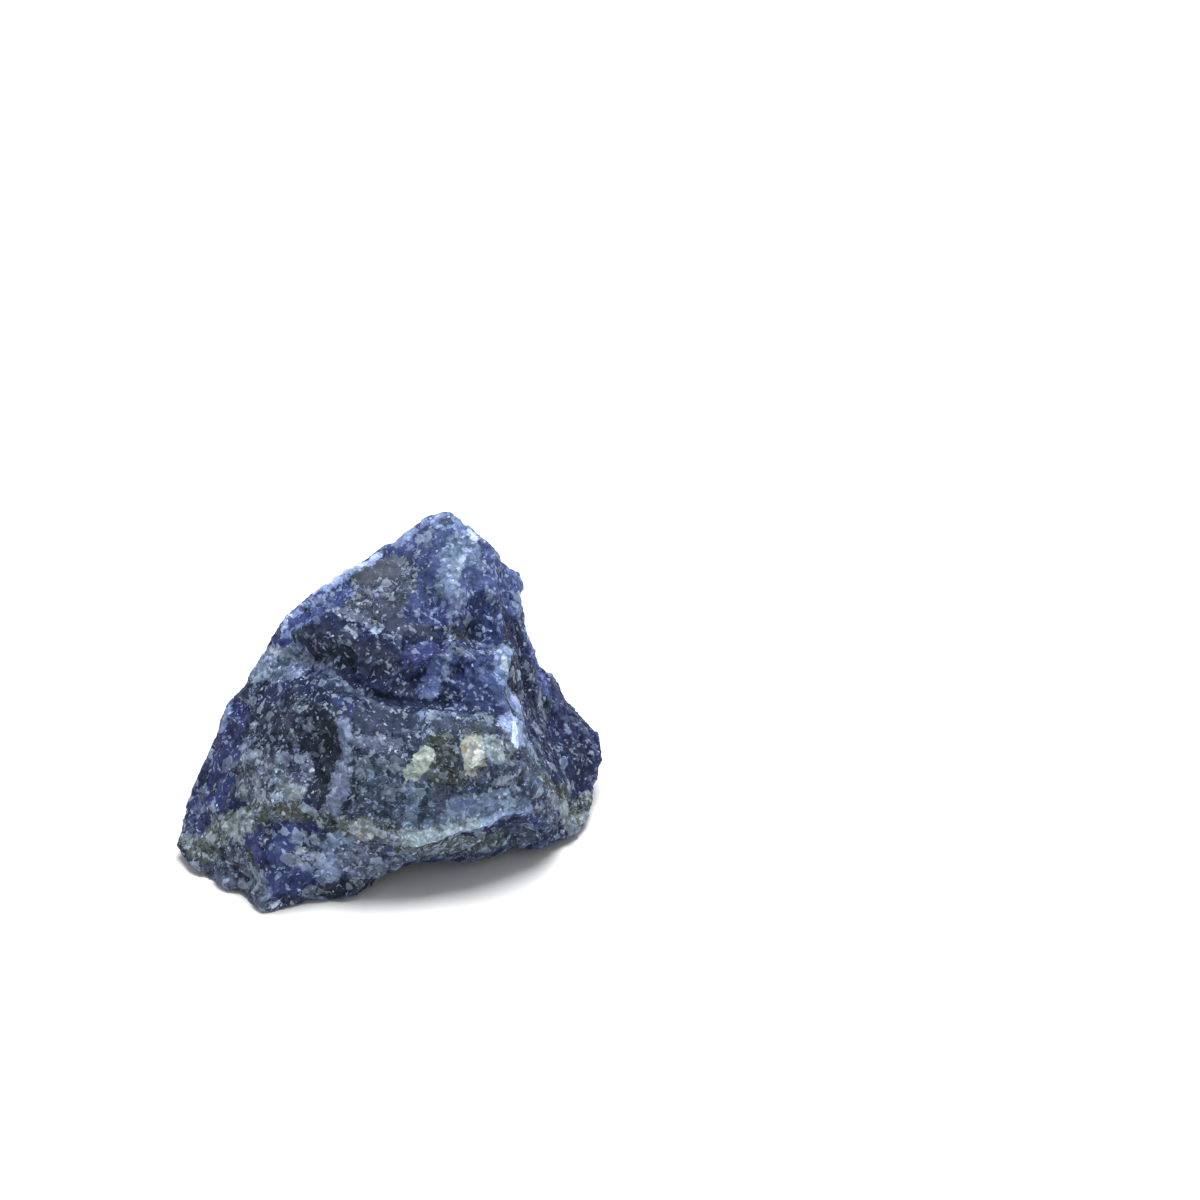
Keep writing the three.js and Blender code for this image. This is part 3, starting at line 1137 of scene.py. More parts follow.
class Mineral(Enum):
    """The minerals of the stone, as a collector would name them by colour."""

    NAVY = Look("#232b47", 0.25, 0.5)
    CHARCOAL = Look("#2c3345", 0.6, 0.6)
    NIGHT = Look("#262c38", 0.22, 0.55)
    UMBER = Look("#2c303d", 0.4, 0.6)
    DUSK = Look("#373d50", 0.15, 0.5)
    INDIGO = Look("#272b4b", 0.25, 0.45, 0.3)
    COBALT = Look("#3c4878", 0.45, 0.45)
    DEEP_COBALT = Look("#313b65", 0.3, 0.45)
    MARINE = Look("#2c3860", 0.4, 0.45, 0.5)
    LILAC = Look("#414c76", 0.28, 0.45)
    PERIWINKLE = Look("#46537c", 0.35, 0.45)
    ICE = Look("#7b8fb8", 0.4, 0.45)
    FROST = Look("#62738c", 0.5, 0.45)
    MIST = Look("#5a657b", 0.35, 0.5)
    SLATE = Look("#424959", 0.75, 0.55)
    GRIT = Look("#3e4552", 0.8, 0.55)
    SHALE = Look("#333c50", 0.12, 0.5)
    ASH = Look("#4f5663", 0.1, 0.6)
    STEEL = Look("#3d475a", 0.7, 0.5)
    FOAM = Look("#92a4ad", 0.4, 0.45)
    SEA = Look("#7b888f", 0.4, 0.5)
    PETROL = Look("#364252", 0.75, 0.55)
    OLIVE = Look("#434945", 0.75, 0.65)
    MOSS = Look("#545b56", 0.7, 0.65)
    CREAM = Look("#9aa29b", 0.3, 0.5)
    PEARL = Look("#c9d3cc", 0.2, 0.45)
    STRAW = Look("#8e9c95", 0.4, 0.5)
    AMBER = Look("#85724f", 0.3, 0.5)
    WHITE = Look("#bccbe2", 0.2, 0.45)
    RUST = Look("#30262f", 0.3, 0.6, 0.5)
    BROWN = Look("#2a2f4a", 0.4, 0.6, 0.8)
    PLUM = Look("#232943", 0.35, 0.5, 0.8)
    VIOLET = Look("#333962", 0.35, 0.45)
    HEATHER = Look("#3a4478", 0.45, 0.5, 0.6)
    SCHIST = Look("#3d4b77", 0.5, 0.55, 0.8)


@dataclass(frozen=True)
class Seam:
    """A mineral that shows up all through the rock wherever slow noise is above a level."""

    mineral: Mineral
    width: float
    level: float
    start: Place


@dataclass(frozen=True)
class Spot:
    """A mineral that lies along a line: how far it reaches, how full, how light, how sharp its border."""

    mineral: Mineral
    start: Place
    end: Place
    radius: float
    strength: float = 1.0
    light: float = 1.0
    crisp: bool = False

    @property
    def colour(self) -> Tone:
        """The mineral's colour here."""
        red, green, blue, alpha = linear(self.mineral.value.tone)
        return red * self.light, green * self.light, blue * self.light, alpha


SEAMS = (
    Seam(Mineral.NAVY, 9.0, 0.5, (3.1, 0.4, 7.7)),
    Seam(Mineral.PETROL, 7.0, 0.56, (11.2, 5.6, 2.3)),
    Seam(Mineral.SLATE, 5.0, 0.6, (1.7, 13.4, 8.9)),
    Seam(Mineral.VIOLET, 6.0, 0.58, (21.4, 3.2, 5.5)),
    Seam(Mineral.DEEP_COBALT, 6.5, 0.62, (8.3, 17.1, 13.2)),
    Seam(Mineral.OLIVE, 5.5, 0.64, (5.9, 9.2, 25.3)),
    Seam(Mineral.ICE, 3.0, 0.7, (14.8, 6.6, 1.9)),
)

SPOTS = (
    # the crown
    Spot(Mineral.LILAC, (4, 3, 39.5), (11, 3, 40), 5.2, light=0.97),
    Spot(Mineral.LILAC, (5.5, -1.5, 36), (8.5, -2.5, 36), 4.2),
    Spot(Mineral.PERIWINKLE, (12, 3.5, 38.5), (14, 1.5, 36), 3.0, light=0.92),
    Spot(Mineral.FROST, (10, 2, 38.5), (8.5, -3.5, 35.5), 2.8, 0.6, light=1.4),
    Spot(Mineral.ICE, (10, 2, 38.5), (8.5, -3, 36), 0.8, 0.7),
    Spot(Mineral.SEA, (9.3, 0.5, 37.8), (9, -2.5, 36.5), 0.8, 0.5, light=1.2),
    Spot(Mineral.ICE, (8.5, -3, 36), (8.5, -4.2, 34.3), 0.5, 0.8),
    # painted highlights: pale and white streaks along the top crest of the crown
    Spot(Mineral.ICE, (6.5, 4.5, 42), (12, 4.5, 39.5), 1.1, 0.8),
    Spot(Mineral.WHITE, (10.8, 4.3, 40), (12, 4, 39.2), 0.6, 0.9),
    Spot(Mineral.ICE, (1.5, 4, 38.5), (5, 5, 41.5), 0.8, 0.8),
    Spot(Mineral.WHITE, (3.2, 5.3, 40.2), (3.9, 5.3, 40.8), 0.5, 0.9),
    Spot(Mineral.NIGHT, (7.6, 4.3, 41.4), (8.6, 4.4, 41.3), 0.6, 0.7),
    Spot(Mineral.SLATE, (5.5, 3, 40.5), (4.5, 2, 39.3), 1.4, 0.4, light=1.3),
    # the slab
    Spot(Mineral.SLATE, (-4.5, 0, 34.5), (1.5, 0, 35.5), 3.4),
    Spot(Mineral.ASH, (-2.5, 1.5, 36), (1, 1.5, 36.5), 1.8, crisp=True),
    Spot(Mineral.SLATE, (-5, -1, 33.5), (2, -4, 33), 2.4),
    Spot(Mineral.DUSK, (1, -4.2, 32.8), (5.5, -5.8, 32), 1.6, 0.9, light=1.25),
    Spot(Mineral.COBALT, (-13, -1.5, 27.5), (-7.5, -0.5, 33), 2.4),
    Spot(Mineral.COBALT, (-11, 0.5, 31), (-5.5, 0.5, 34), 2.0),
    # painted highlights: pale and white lines along the lit crest of the slab
    Spot(Mineral.ICE, (-12.7, -0.4, 29.2), (-7.5, 1.3, 33.8), 0.5, 0.9, light=1.15),
    Spot(Mineral.ICE, (-7.5, 1.3, 33.8), (-1, 3.4, 37.5), 1.0, 0.9, light=1.15),
    Spot(Mineral.WHITE, (-8.8, 1.5, 33.2), (-1.5, 3.2, 37.2), 0.55, 0.7),
    Spot(Mineral.WHITE, (-12.9, -0.6, 28.9), (-11.6, 0.1, 30.5), 0.3, 0.8),
    Spot(Mineral.ICE, (-13, -1.5, 28), (-7.5, -3, 32), 0.5, 0.6),
    Spot(Mineral.MIST, (-8.3, -0.3, 32.7), (-4.7, -2.5, 32.4), 0.4, 0.7, 1.2, True),
    Spot(Mineral.MIST, (-4.7, -2.5, 32.4), (-0.5, -5, 31.6), 0.45, 0.7, 1.2, True),
    Spot(Mineral.ICE, (-1.1, -5.2, 31.5), (2.7, -6.8, 30.6), 0.4, 0.9, 1.1, True),
    Spot(Mineral.DEEP_COBALT, (3.5, -4, 33.2), (8, -4.8, 33), 1.3, crisp=True),
    Spot(Mineral.COBALT, (6, -3.5, 34), (7.8, -4, 34), 1.3, 0.9),
    # the steep foot of the slab
    Spot(Mineral.NAVY, (-8.5, -5, 29), (-1, -9.5, 26.5), 3.6),
    Spot(Mineral.UMBER, (-10, -3.3, 28), (-4, -7, 29), 2.4, 0.65),
    Spot(Mineral.NAVY, (-1, -8, 29.5), (5, -8, 29), 2.9, light=0.9),
    Spot(Mineral.UMBER, (-3.5, -6.5, 29.5), (0.5, -8.5, 28.5), 2.0, 0.6, light=1.15),
    Spot(Mineral.VIOLET, (4.4, -8, 29.5), (7, -8, 28.5), 2.0, 0.8, light=1.45),
    Spot(Mineral.PERIWINKLE, (6, -9.5, 26), (7.2, -8.3, 27.8), 1.8, 0.9, light=1.4),
    Spot(Mineral.STEEL, (3, -10, 26), (5, -10.2, 26), 1.3, 0.7),
    Spot(Mineral.SEA, (5.3, -10.8, 25.3), (6.6, -10.2, 25.6), 0.7, 0.6),
    # painted shade: a dark line along the groove at the foot of the slab
    Spot(Mineral.NIGHT, (-1, -10.7, 25), (9, -11, 25.5), 0.6, 0.7),
    # the middle ridge, the cove and the facet below it
    Spot(Mineral.PERIWINKLE, (10.5, -0.5, 36), (13.8, 0.5, 34), 1.9, 0.9),
    Spot(Mineral.MARINE, (12, -1.8, 32.6), (13, -3.3, 29.8), 2.3, light=1.2),
    # painted shade in the cove beside the middle ridge
    Spot(Mineral.NIGHT, (11.8, -1, 33), (12.3, -2.5, 30.5), 1.1, 0.5),
    Spot(Mineral.DEEP_COBALT, (14, -3, 29.2), (14.8, -2, 31), 1.3),
    Spot(Mineral.ICE, (8.5, -4.5, 34), (8.5, -7, 30), 0.6, 0.6, light=0.75),
    Spot(Mineral.FROST, (8.5, -7, 30), (7.5, -9.5, 26.5), 0.7, 0.45),
    Spot(Mineral.PERIWINKLE, (9.2, -6.8, 29.8), (14, -5.2, 28.3), 1.1, 0.3, light=0.6),
    Spot(Mineral.SEA, (9.3, -7, 29.6), (11, -6.8, 29.2), 0.6, 0.3),
    Spot(Mineral.DEEP_COBALT, (11, -9, 27.5), (14, -10, 25.5), 3.0, light=0.9),
    Spot(Mineral.PERIWINKLE, (14, -8, 26.3), (15.7, -9.5, 24), 1.7, 0.8),
    # painted shade: the dark inside the hole beside the groove's end
    Spot(Mineral.NIGHT, (9.5, -8.5, 28), (9, -9.2, 27), 0.9, light=0.8),
    # painted highlights: pale streaks with white cores down the right edge of the front face
    Spot(Mineral.ICE, (15, -4.8, 28.3), (15.2, -7.5, 25.8), 1.4, 0.65),
    Spot(Mineral.WHITE, (15.2, -5.2, 27.6), (15.3, -6.5, 26.4), 0.5, 0.5),
    Spot(Mineral.ICE, (15.8, -6.5, 23), (17.2, -6, 19.8), 1.5, 0.8, light=1.1),
    Spot(Mineral.ICE, (16.2, -12.5, 22.2), (17.4, -9.8, 19.4), 2.1, 0.9, 1.2, True),
    Spot(Mineral.WHITE, (16.8, -12.5, 21.5), (17, -13, 20.2), 1.3, 1.0, 1.3, True),
    Spot(Mineral.FROST, (17.5, -6, 18), (18, -9, 17.8), 1.4, 0.8, light=1.2),
    # the right side, down to the knob
    Spot(Mineral.SCHIST, (15.3, 3.5, 33), (16.6, 4.5, 26), 3.4),
    Spot(Mineral.BROWN, (16, 0, 27.5), (17.3, -2.5, 18), 2.6),
    Spot(Mineral.HEATHER, (17.3, 4, 23.8), (20, 7.5, 15.5), 2.7),
    Spot(Mineral.RUST, (16.1, -1, 27.3), (16.7, -3.5, 21.3), 0.9, 0.8),
    Spot(Mineral.PLUM, (18.3, 0, 17.5), (20.5, -2, 12), 3.3),
    Spot(Mineral.PLUM, (18.5, -5, 16), (21, -9, 10.5), 2.8, light=1.2),
    Spot(Mineral.STEEL, (18.5, -10.5, 16.5), (20, -9, 13.5), 1.8, 0.8, light=1.15),
    Spot(Mineral.VIOLET, (21, 9, 14), (23.5, 8, 10.5), 2.4, light=0.85),
    Spot(Mineral.INDIGO, (23.5, 4.5, 10), (26.5, 1.5, 6), 4.0),
    Spot(Mineral.NIGHT, (23.5, 2, 9), (25, 0, 5.5), 1.6, 0.5, light=0.8),
    Spot(Mineral.MIST, (23.3, 6, 11.2), (25.5, 5, 9), 0.6, 0.5),
    Spot(Mineral.FROST, (22.5, -1, 9), (22.6, -3.3, 8.5), 0.9, 0.7),
    Spot(Mineral.STEEL, (19.3, -13.5, 14), (20.8, -11.5, 8), 2.2, 0.85, light=1.2),
    Spot(Mineral.OLIVE, (19.8, -12, 14.3), (22.2, -6.9, 8), 1.2, 0.85),
    Spot(Mineral.SEA, (24, -2.5, 6), (26, -1.5, 4), 0.8, 0.7, light=0.8),
    Spot(Mineral.SEA, (21.6, -9, 8.8), (24, -6.2, 2.4), 1.8, 0.85, light=0.75),
    Spot(Mineral.MOSS, (24, -5, 3), (25.5, -3, 2.4), 1.8, 0.9, light=1.5),
    Spot(Mineral.OLIVE, (22.2, -6.9, 8), (25.8, -2.9, 2.5), 1.1, 0.9, light=0.9),
    # the left face
    Spot(Mineral.CHARCOAL, (-18, -5.5, 19), (-10, -13, 20), 6.5),
    Spot(Mineral.UMBER, (-15, -8, 21), (-12, -10.5, 21.5), 1.8, 0.6, light=1.2),
    Spot(Mineral.VIOLET, (-13, -6.5, 23.5), (-15.5, -6, 22), 1.6, 0.5),
    Spot(Mineral.STEEL, (-16, -2, 24.2), (-11.5, -4, 26), 2.6, light=2.45),
    Spot(Mineral.NAVY, (-10.5, -7, 25.3), (-7, -10.5, 25.3), 1.3, 0.9),
    Spot(Mineral.SEA, (-14.8, -1.2, 26), (-8.8, -4.8, 26.5), 0.8, 0.6, light=0.8),
    Spot(Mineral.MIST, (-8.8, -4.8, 26.5), (-4.1, -9.4, 26), 0.8, 0.75, light=1.05),
    Spot(Mineral.MIST, (-4.1, -9.4, 26), (0.6, -11.9, 24.3), 0.7, 0.7, light=0.9),
    Spot(Mineral.VIOLET, (-20, -5.5, 18), (-22, -7, 12.5), 3.0),
    Spot(Mineral.VIOLET, (-18, -9, 16), (-19.5, -9.5, 15), 1.8, 0.8),
    Spot(Mineral.VIOLET, (-23.5, -9.5, 8), (-25, -10.5, 5), 2.2, 0.6, light=1.2),
    Spot(Mineral.ICE, (-19.5, -3.6, 20.5), (-21, -4.6, 16), 0.5, 0.9),
    Spot(Mineral.MIST, (-23.5, -8, 9), (-24.5, -9, 7), 1.0, 0.6),
    Spot(Mineral.NIGHT, (-8, -13, 23), (-6.5, -18, 15), 2.6, 0.95),
    Spot(Mineral.GRIT, (-17, -12, 14), (-12, -16, 14), 3.5, light=1.4),
    Spot(Mineral.SLATE, (-11, -12.3, 20.2), (-10.6, -12.7, 19.4), 0.8, 0.8, 1.7, True),
    Spot(Mineral.SLATE, (-12.8, -13.2, 18.3), (-12, -13.6, 17.8), 0.9, 0.9, 1.9, True),
    Spot(Mineral.MIST, (-9, -14.5, 18), (-9.2, -15.5, 16.8), 0.8, 0.9, 1.1, True),
    Spot(Mineral.SEA, (-16.2, -12.7, 13.8), (-15.8, -13.4, 13.2), 0.8, 0.7, 1.0, True),
    Spot(Mineral.SEA, (-12.5, -15.8, 15), (-10.2, -16.5, 14.7), 1.1, 0.75, 0.9),
    Spot(Mineral.MIST, (-6, -17.4, 17.3), (-6.4, -17.7, 16.5), 0.5, 0.7, 1.2, True),
    Spot(Mineral.SLATE, (-9.3, -14.7, 17.4), (-9, -15.3, 16.6), 0.9, 0.9, 2.2, True),
    Spot(Mineral.SEA, (-18, -12.2, 12.3), (-17.4, -12.5, 12.1), 0.7, 0.8, 1.1, True),
    # the stripe and the front
    Spot(Mineral.PETROL, (-1, -17.5, 19), (4, -18.5, 15.5), 4.6, light=1.12),
    Spot(Mineral.STEEL, (5, -14.5, 23), (12, -15, 22), 2.8),
    Spot(Mineral.SHALE, (-1.5, -13.8, 24.2), (2.7, -14.3, 24), 1.9, crisp=True),
    Spot(Mineral.MIST, (-3.5, -16.5, 22.4), (2.5, -16.7, 22.4), 0.8, 0.9, crisp=True),
    Spot(Mineral.MIST, (-4.5, -14.8, 24), (-4.9, -18, 16.5), 1.25, 0.95, light=1.4),
    Spot(Mineral.MIST, (-5.1, -18.1, 16), (-6.2, -18.8, 13.4), 1.4, 0.9, light=1.35),
    Spot(Mineral.NIGHT, (-2.7, -17.2, 21.1), (1.2, -17.5, 21.6), 0.3, 0.9, crisp=True),
    Spot(Mineral.NIGHT, (-3, -17.3, 20.8), (-3.1, -18.8, 15.3), 0.35, 0.9, crisp=True),
    Spot(Mineral.STEEL, (-2, -19, 14), (2, -19.5, 12.5), 1.6, 0.8, light=1.2),
    Spot(Mineral.ICE, (5.1, -13.1, 24.5), (5.5, -16, 22.6), 0.45, 0.8),
    Spot(Mineral.FROST, (4, -18.1, 18.6), (3.7, -19.3, 11.5), 0.85, 0.9, light=1.1),
    Spot(Mineral.OLIVE, (7.5, -17, 21), (8.5, -18, 17.5), 2.6, 0.9, light=0.9),
    Spot(Mineral.STRAW, (5.7, -17.3, 21), (4.1, -18, 18.6), 1.25, light=1.28, crisp=True),
    Spot(Mineral.MOSS, (11.5, -15.5, 23), (15, -15.5, 21), 1.8, 0.4),
    Spot(Mineral.SEA, (13.2, -16.1, 21.4), (15, -15.9, 20.3), 1.6, 1.0, 1.7, True),
    Spot(Mineral.MIST, (13.5, -16.7, 19.3), (14.5, -16.5, 18.7), 1.1, 0.6),
    Spot(Mineral.CREAM, (11.4, -16.3, 21.9), (11.9, -17.3, 18.7), 1.5, crisp=True),
    Spot(Mineral.PEARL, (12.3, -16.9, 20.6), (11.9, -17.3, 19.2), 0.8, 1.0, 1.2, True),
    Spot(Mineral.AMBER, (10.5, -16.4, 21.8), (10.6, -16.8, 21.2), 0.4, 0.7, 1.0, True),
    Spot(Mineral.OLIVE, (15.9, -15.4, 20.9), (16.4, -15.4, 19.3), 0.9, 0.9, 0.7, True),
    Spot(Mineral.STEEL, (13.5, -17, 16.5), (18, -14, 15.5), 2.6, 0.9, light=0.9),
    Spot(Mineral.MIST, (17.3, -14.3, 18.8), (18, -14, 16), 0.7, 0.6),
    Spot(Mineral.MIST, (18, -14, 16), (19.5, -14, 13.5), 0.6, 0.5),
    Spot(Mineral.STEEL, (8, -18.5, 14.5), (15, -17.5, 13), 2.4, 0.9, light=1.2),
    Spot(Mineral.FROST, (9, -18.5, 13.3), (14.5, -17, 14), 1.8, 0.9, light=1.25),
    Spot(Mineral.DEEP_COBALT, (9.5, -18.5, 14.2), (11.5, -18.2, 14.4), 0.7, 0.6, light=1.2),
    Spot(Mineral.SEA, (1, -20.1, 10.3), (6.5, -19.5, 10), 1.5, 0.9, light=0.9),
    Spot(Mineral.FROST, (6, -19.3, 10.8), (17.5, -16, 12), 1.9, 0.8),
    Spot(Mineral.FOAM, (3.5, -19.9, 9.9), (13, -18, 11.3), 1.1, 0.9),
    Spot(Mineral.WHITE, (8.5, -18.8, 10.3), (12, -18.2, 11), 0.6, 0.6),
    Spot(Mineral.ICE, (13, -18, 11.6), (18.5, -15, 11.1), 0.8, 0.7),
    Spot(Mineral.STEEL, (4, -17, 6), (17, -12, 5), 3.0, 0.9, light=1.3),
    Spot(Mineral.OLIVE, (5, -17.5, 6.5), (14, -13, 5), 1.8, 0.7, light=1.15),
    Spot(Mineral.MOSS, (2.5, -19.5, 8.3), (9.6, -17, 7.5), 1.1, 0.8),
    Spot(Mineral.MOSS, (9.6, -17, 7.5), (15, -13.5, 6), 0.8, 0.7),
    # the foot
    Spot(Mineral.GRIT, (-22.5, -15, 3), (-16, -19, 2), 3.8, 0.95, light=1.15),
    Spot(Mineral.MOSS, (-25.5, -12, 3.5), (-22.5, -14, 4), 1.8, 0.8, light=1.1),
    Spot(Mineral.MOSS, (-23, -13, 5.5), (-17, -15.5, 10), 1.9, 0.85, light=1.1),
    Spot(Mineral.OLIVE, (-17, -15.2, 10.8), (-11, -17.9, 13), 1.2, 0.9, light=1.2),
    Spot(Mineral.OLIVE, (-11, -17.9, 13), (-4.2, -20, 11.6), 1.2, 0.9, light=1.1),
    Spot(Mineral.OLIVE, (-4.5, -19.8, 11.8), (1.5, -20, 11), 1.6, 0.9, light=1.35),
    Spot(Mineral.GRIT, (-4, -20.4, 9.6), (-0.5, -20, 8.4), 1.4, 0.9, light=1.15),
    Spot(Mineral.AMBER, (-4.1, -19.9, 11.5), (-3.8, -20, 11.2), 0.35, 0.6, 0.9, True),
    Spot(Mineral.AMBER, (-2.7, -20.3, 11.2), (-2.4, -20.3, 10.7), 0.4, 0.6, 0.9, True),
    Spot(Mineral.CREAM, (-1.4, -20.2, 11), (-1.2, -20.2, 10.6), 0.4, 0.8, 0.9, True),
    Spot(Mineral.DEEP_COBALT, (-13.2, -20.5, 9), (-11, -20, 10.3), 2.0, 0.8, light=1.1),
    Spot(Mineral.DEEP_COBALT, (-13, -21.5, 4.5), (-10.5, -20.5, 4.5), 2.3, 0.95, light=1.2),
    Spot(Mineral.ICE, (-14, -21, 6.9), (-10, -20.5, 6.6), 0.3, 0.5),
    Spot(Mineral.FROST, (-6, -20, 9), (-6.5, -20, 4.5), 2.0, 0.9, light=1.25),
    Spot(Mineral.ICE, (-6, -20, 8), (-6.3, -20, 5), 0.9, 0.5, light=0.85),
    Spot(Mineral.WHITE, (-13.5, -21.5, 1.2), (-12.8, -21.5, 1), 0.5, 0.8),
    Spot(Mineral.SEA, (-9, -19.5, 10), (-10, -20.5, 8.8), 0.8, 0.85, light=1.1),
    Spot(Mineral.SLATE, (-3.5, -20, 7), (0, -17.5, 3.5), 2.5, 0.9, light=2.0),
    Spot(Mineral.NIGHT, (-7, -19.5, 2), (-2, -18, 1.5), 1.3, 0.9),
    # the back
    Spot(Mineral.COBALT, (0, 11.5, 28), (8, 10.5, 30), 4.0, 0.9),
    Spot(Mineral.PERIWINKLE, (-10, 5, 28), (-6, 7, 30), 2.5, 0.8),
    Spot(Mineral.SHALE, (-12, 8, 18), (-4, 14, 18), 4.5, 0.9),
    Spot(Mineral.MARINE, (8, 14, 18), (16, 12, 14), 4.5, 0.9),
    Spot(Mineral.GRIT, (-14, 12.5, 8), (-6, 17, 6), 4.0, 0.8),
    Spot(Mineral.OLIVE, (0, 20, 7), (10, 19, 6), 2.2, 0.8),
    Spot(Mineral.DEEP_COBALT, (14, 17, 9), (18, 15, 5), 3.5, 0.85),
    Spot(Mineral.MIST, (-14, 5, 20), (-2, 13.7, 20.5), 0.9, 0.7),
    Spot(Mineral.MIST, (-2, 13.7, 20.5), (10, 16, 14.5), 0.8, 0.7),
    Spot(Mineral.FROST, (2, 18, 12.5), (5, 18.5, 11), 1.6, 0.7),
)


@dataclass
class Places:
    """The place on the stone in millimetres, as it is and with three kinds of wandering borders."""

    plain: Value
    ragged: Value
    steady: Value
    crisp: Value


@dataclass
class Ground:
    """The colour and the traits of the rock, as they grow through the wiring."""

    colour: Value
    traits: Value

    def overgrown(self, wiring: Wiring, kind: Ingrowth, colour: Tone, look: Look, **where: Value) -> Ground:
        """Lets one more mineral come in.

        Args:
            wiring: The material's tree.
            kind: How the mineral comes in.
            colour: The mineral's colour here.
            look: Its other traits.
            **where: Where it comes in, as its kind takes it.

        Returns:
            The rock with the mineral in it.
        """
        made = kind.place(wiring, **where, **{
            "colour": self.colour, "traits": self.traits, "new colour": colour, "new traits": look.traits,
        })
        return Ground(made["colour"], made["traits"])


@dataclass
class Rock:
    """The rock's colour and roughness, and how flaky and streaky it is."""

    colour: Value
    rough: Value
    flaky: Value
    streaky: Value


@dataclass(frozen=True)
class RaggedBorder:
    """A kind of border between minerals: the grains that it follows, and how far it wanders."""

    grain: float
    wander: float


@dataclass(frozen=True)
class GrainTone:
    """One size of grain in the colour: how far their tones spread, and how far their faces lean."""

    width: float
    spread: float
    lean: float


@dataclass(frozen=True)
class FlakeKind:
    """One kind of flake: its shape, width, direction, number, light, and the heights it keeps to."""

    shape: Flakes
    width: float
    way: Place
    stretch: float
    share: float
    strength: float
    tone: str
    lowest: Optional[float] = None
    highest: Optional[float] = None
    fade: float = 1.5

    def mask(self, wiring: Wiring, point: Value, share: Value) -> Socket:
        """Draws the flakes.

        Args:
            wiring: The material's tree.
            point: The place on the stone, in millimetres.
            share: How much of the rock they cover.

        Returns:
            How bright the flake at each point is.
        """
        return self.shape.place(
            wiring, point=point, width=self.width, way=self.way, stretch=self.stretch, share=share
        )["mask"]

    def crowded(self, wiring: Wiring, crowding: Value, height: Value) -> Value:
        """Works out how much of the rock the flakes cover, which fades beyond their own heights.

        Args:
            wiring: The material's tree.
            crowding: How crowded flakes of all kinds are.
            height: How high each point is.

        Returns:
            The share of the rock.
        """
        share = wiring.maths("MULTIPLY", crowding, self.share)
        for end, outward in ((self.lowest, -self.fade), (self.highest, self.fade)):
            if end is not None:
                share = wiring.maths("MULTIPLY", share, wiring.rise(height, end + outward, end - outward))
        return share


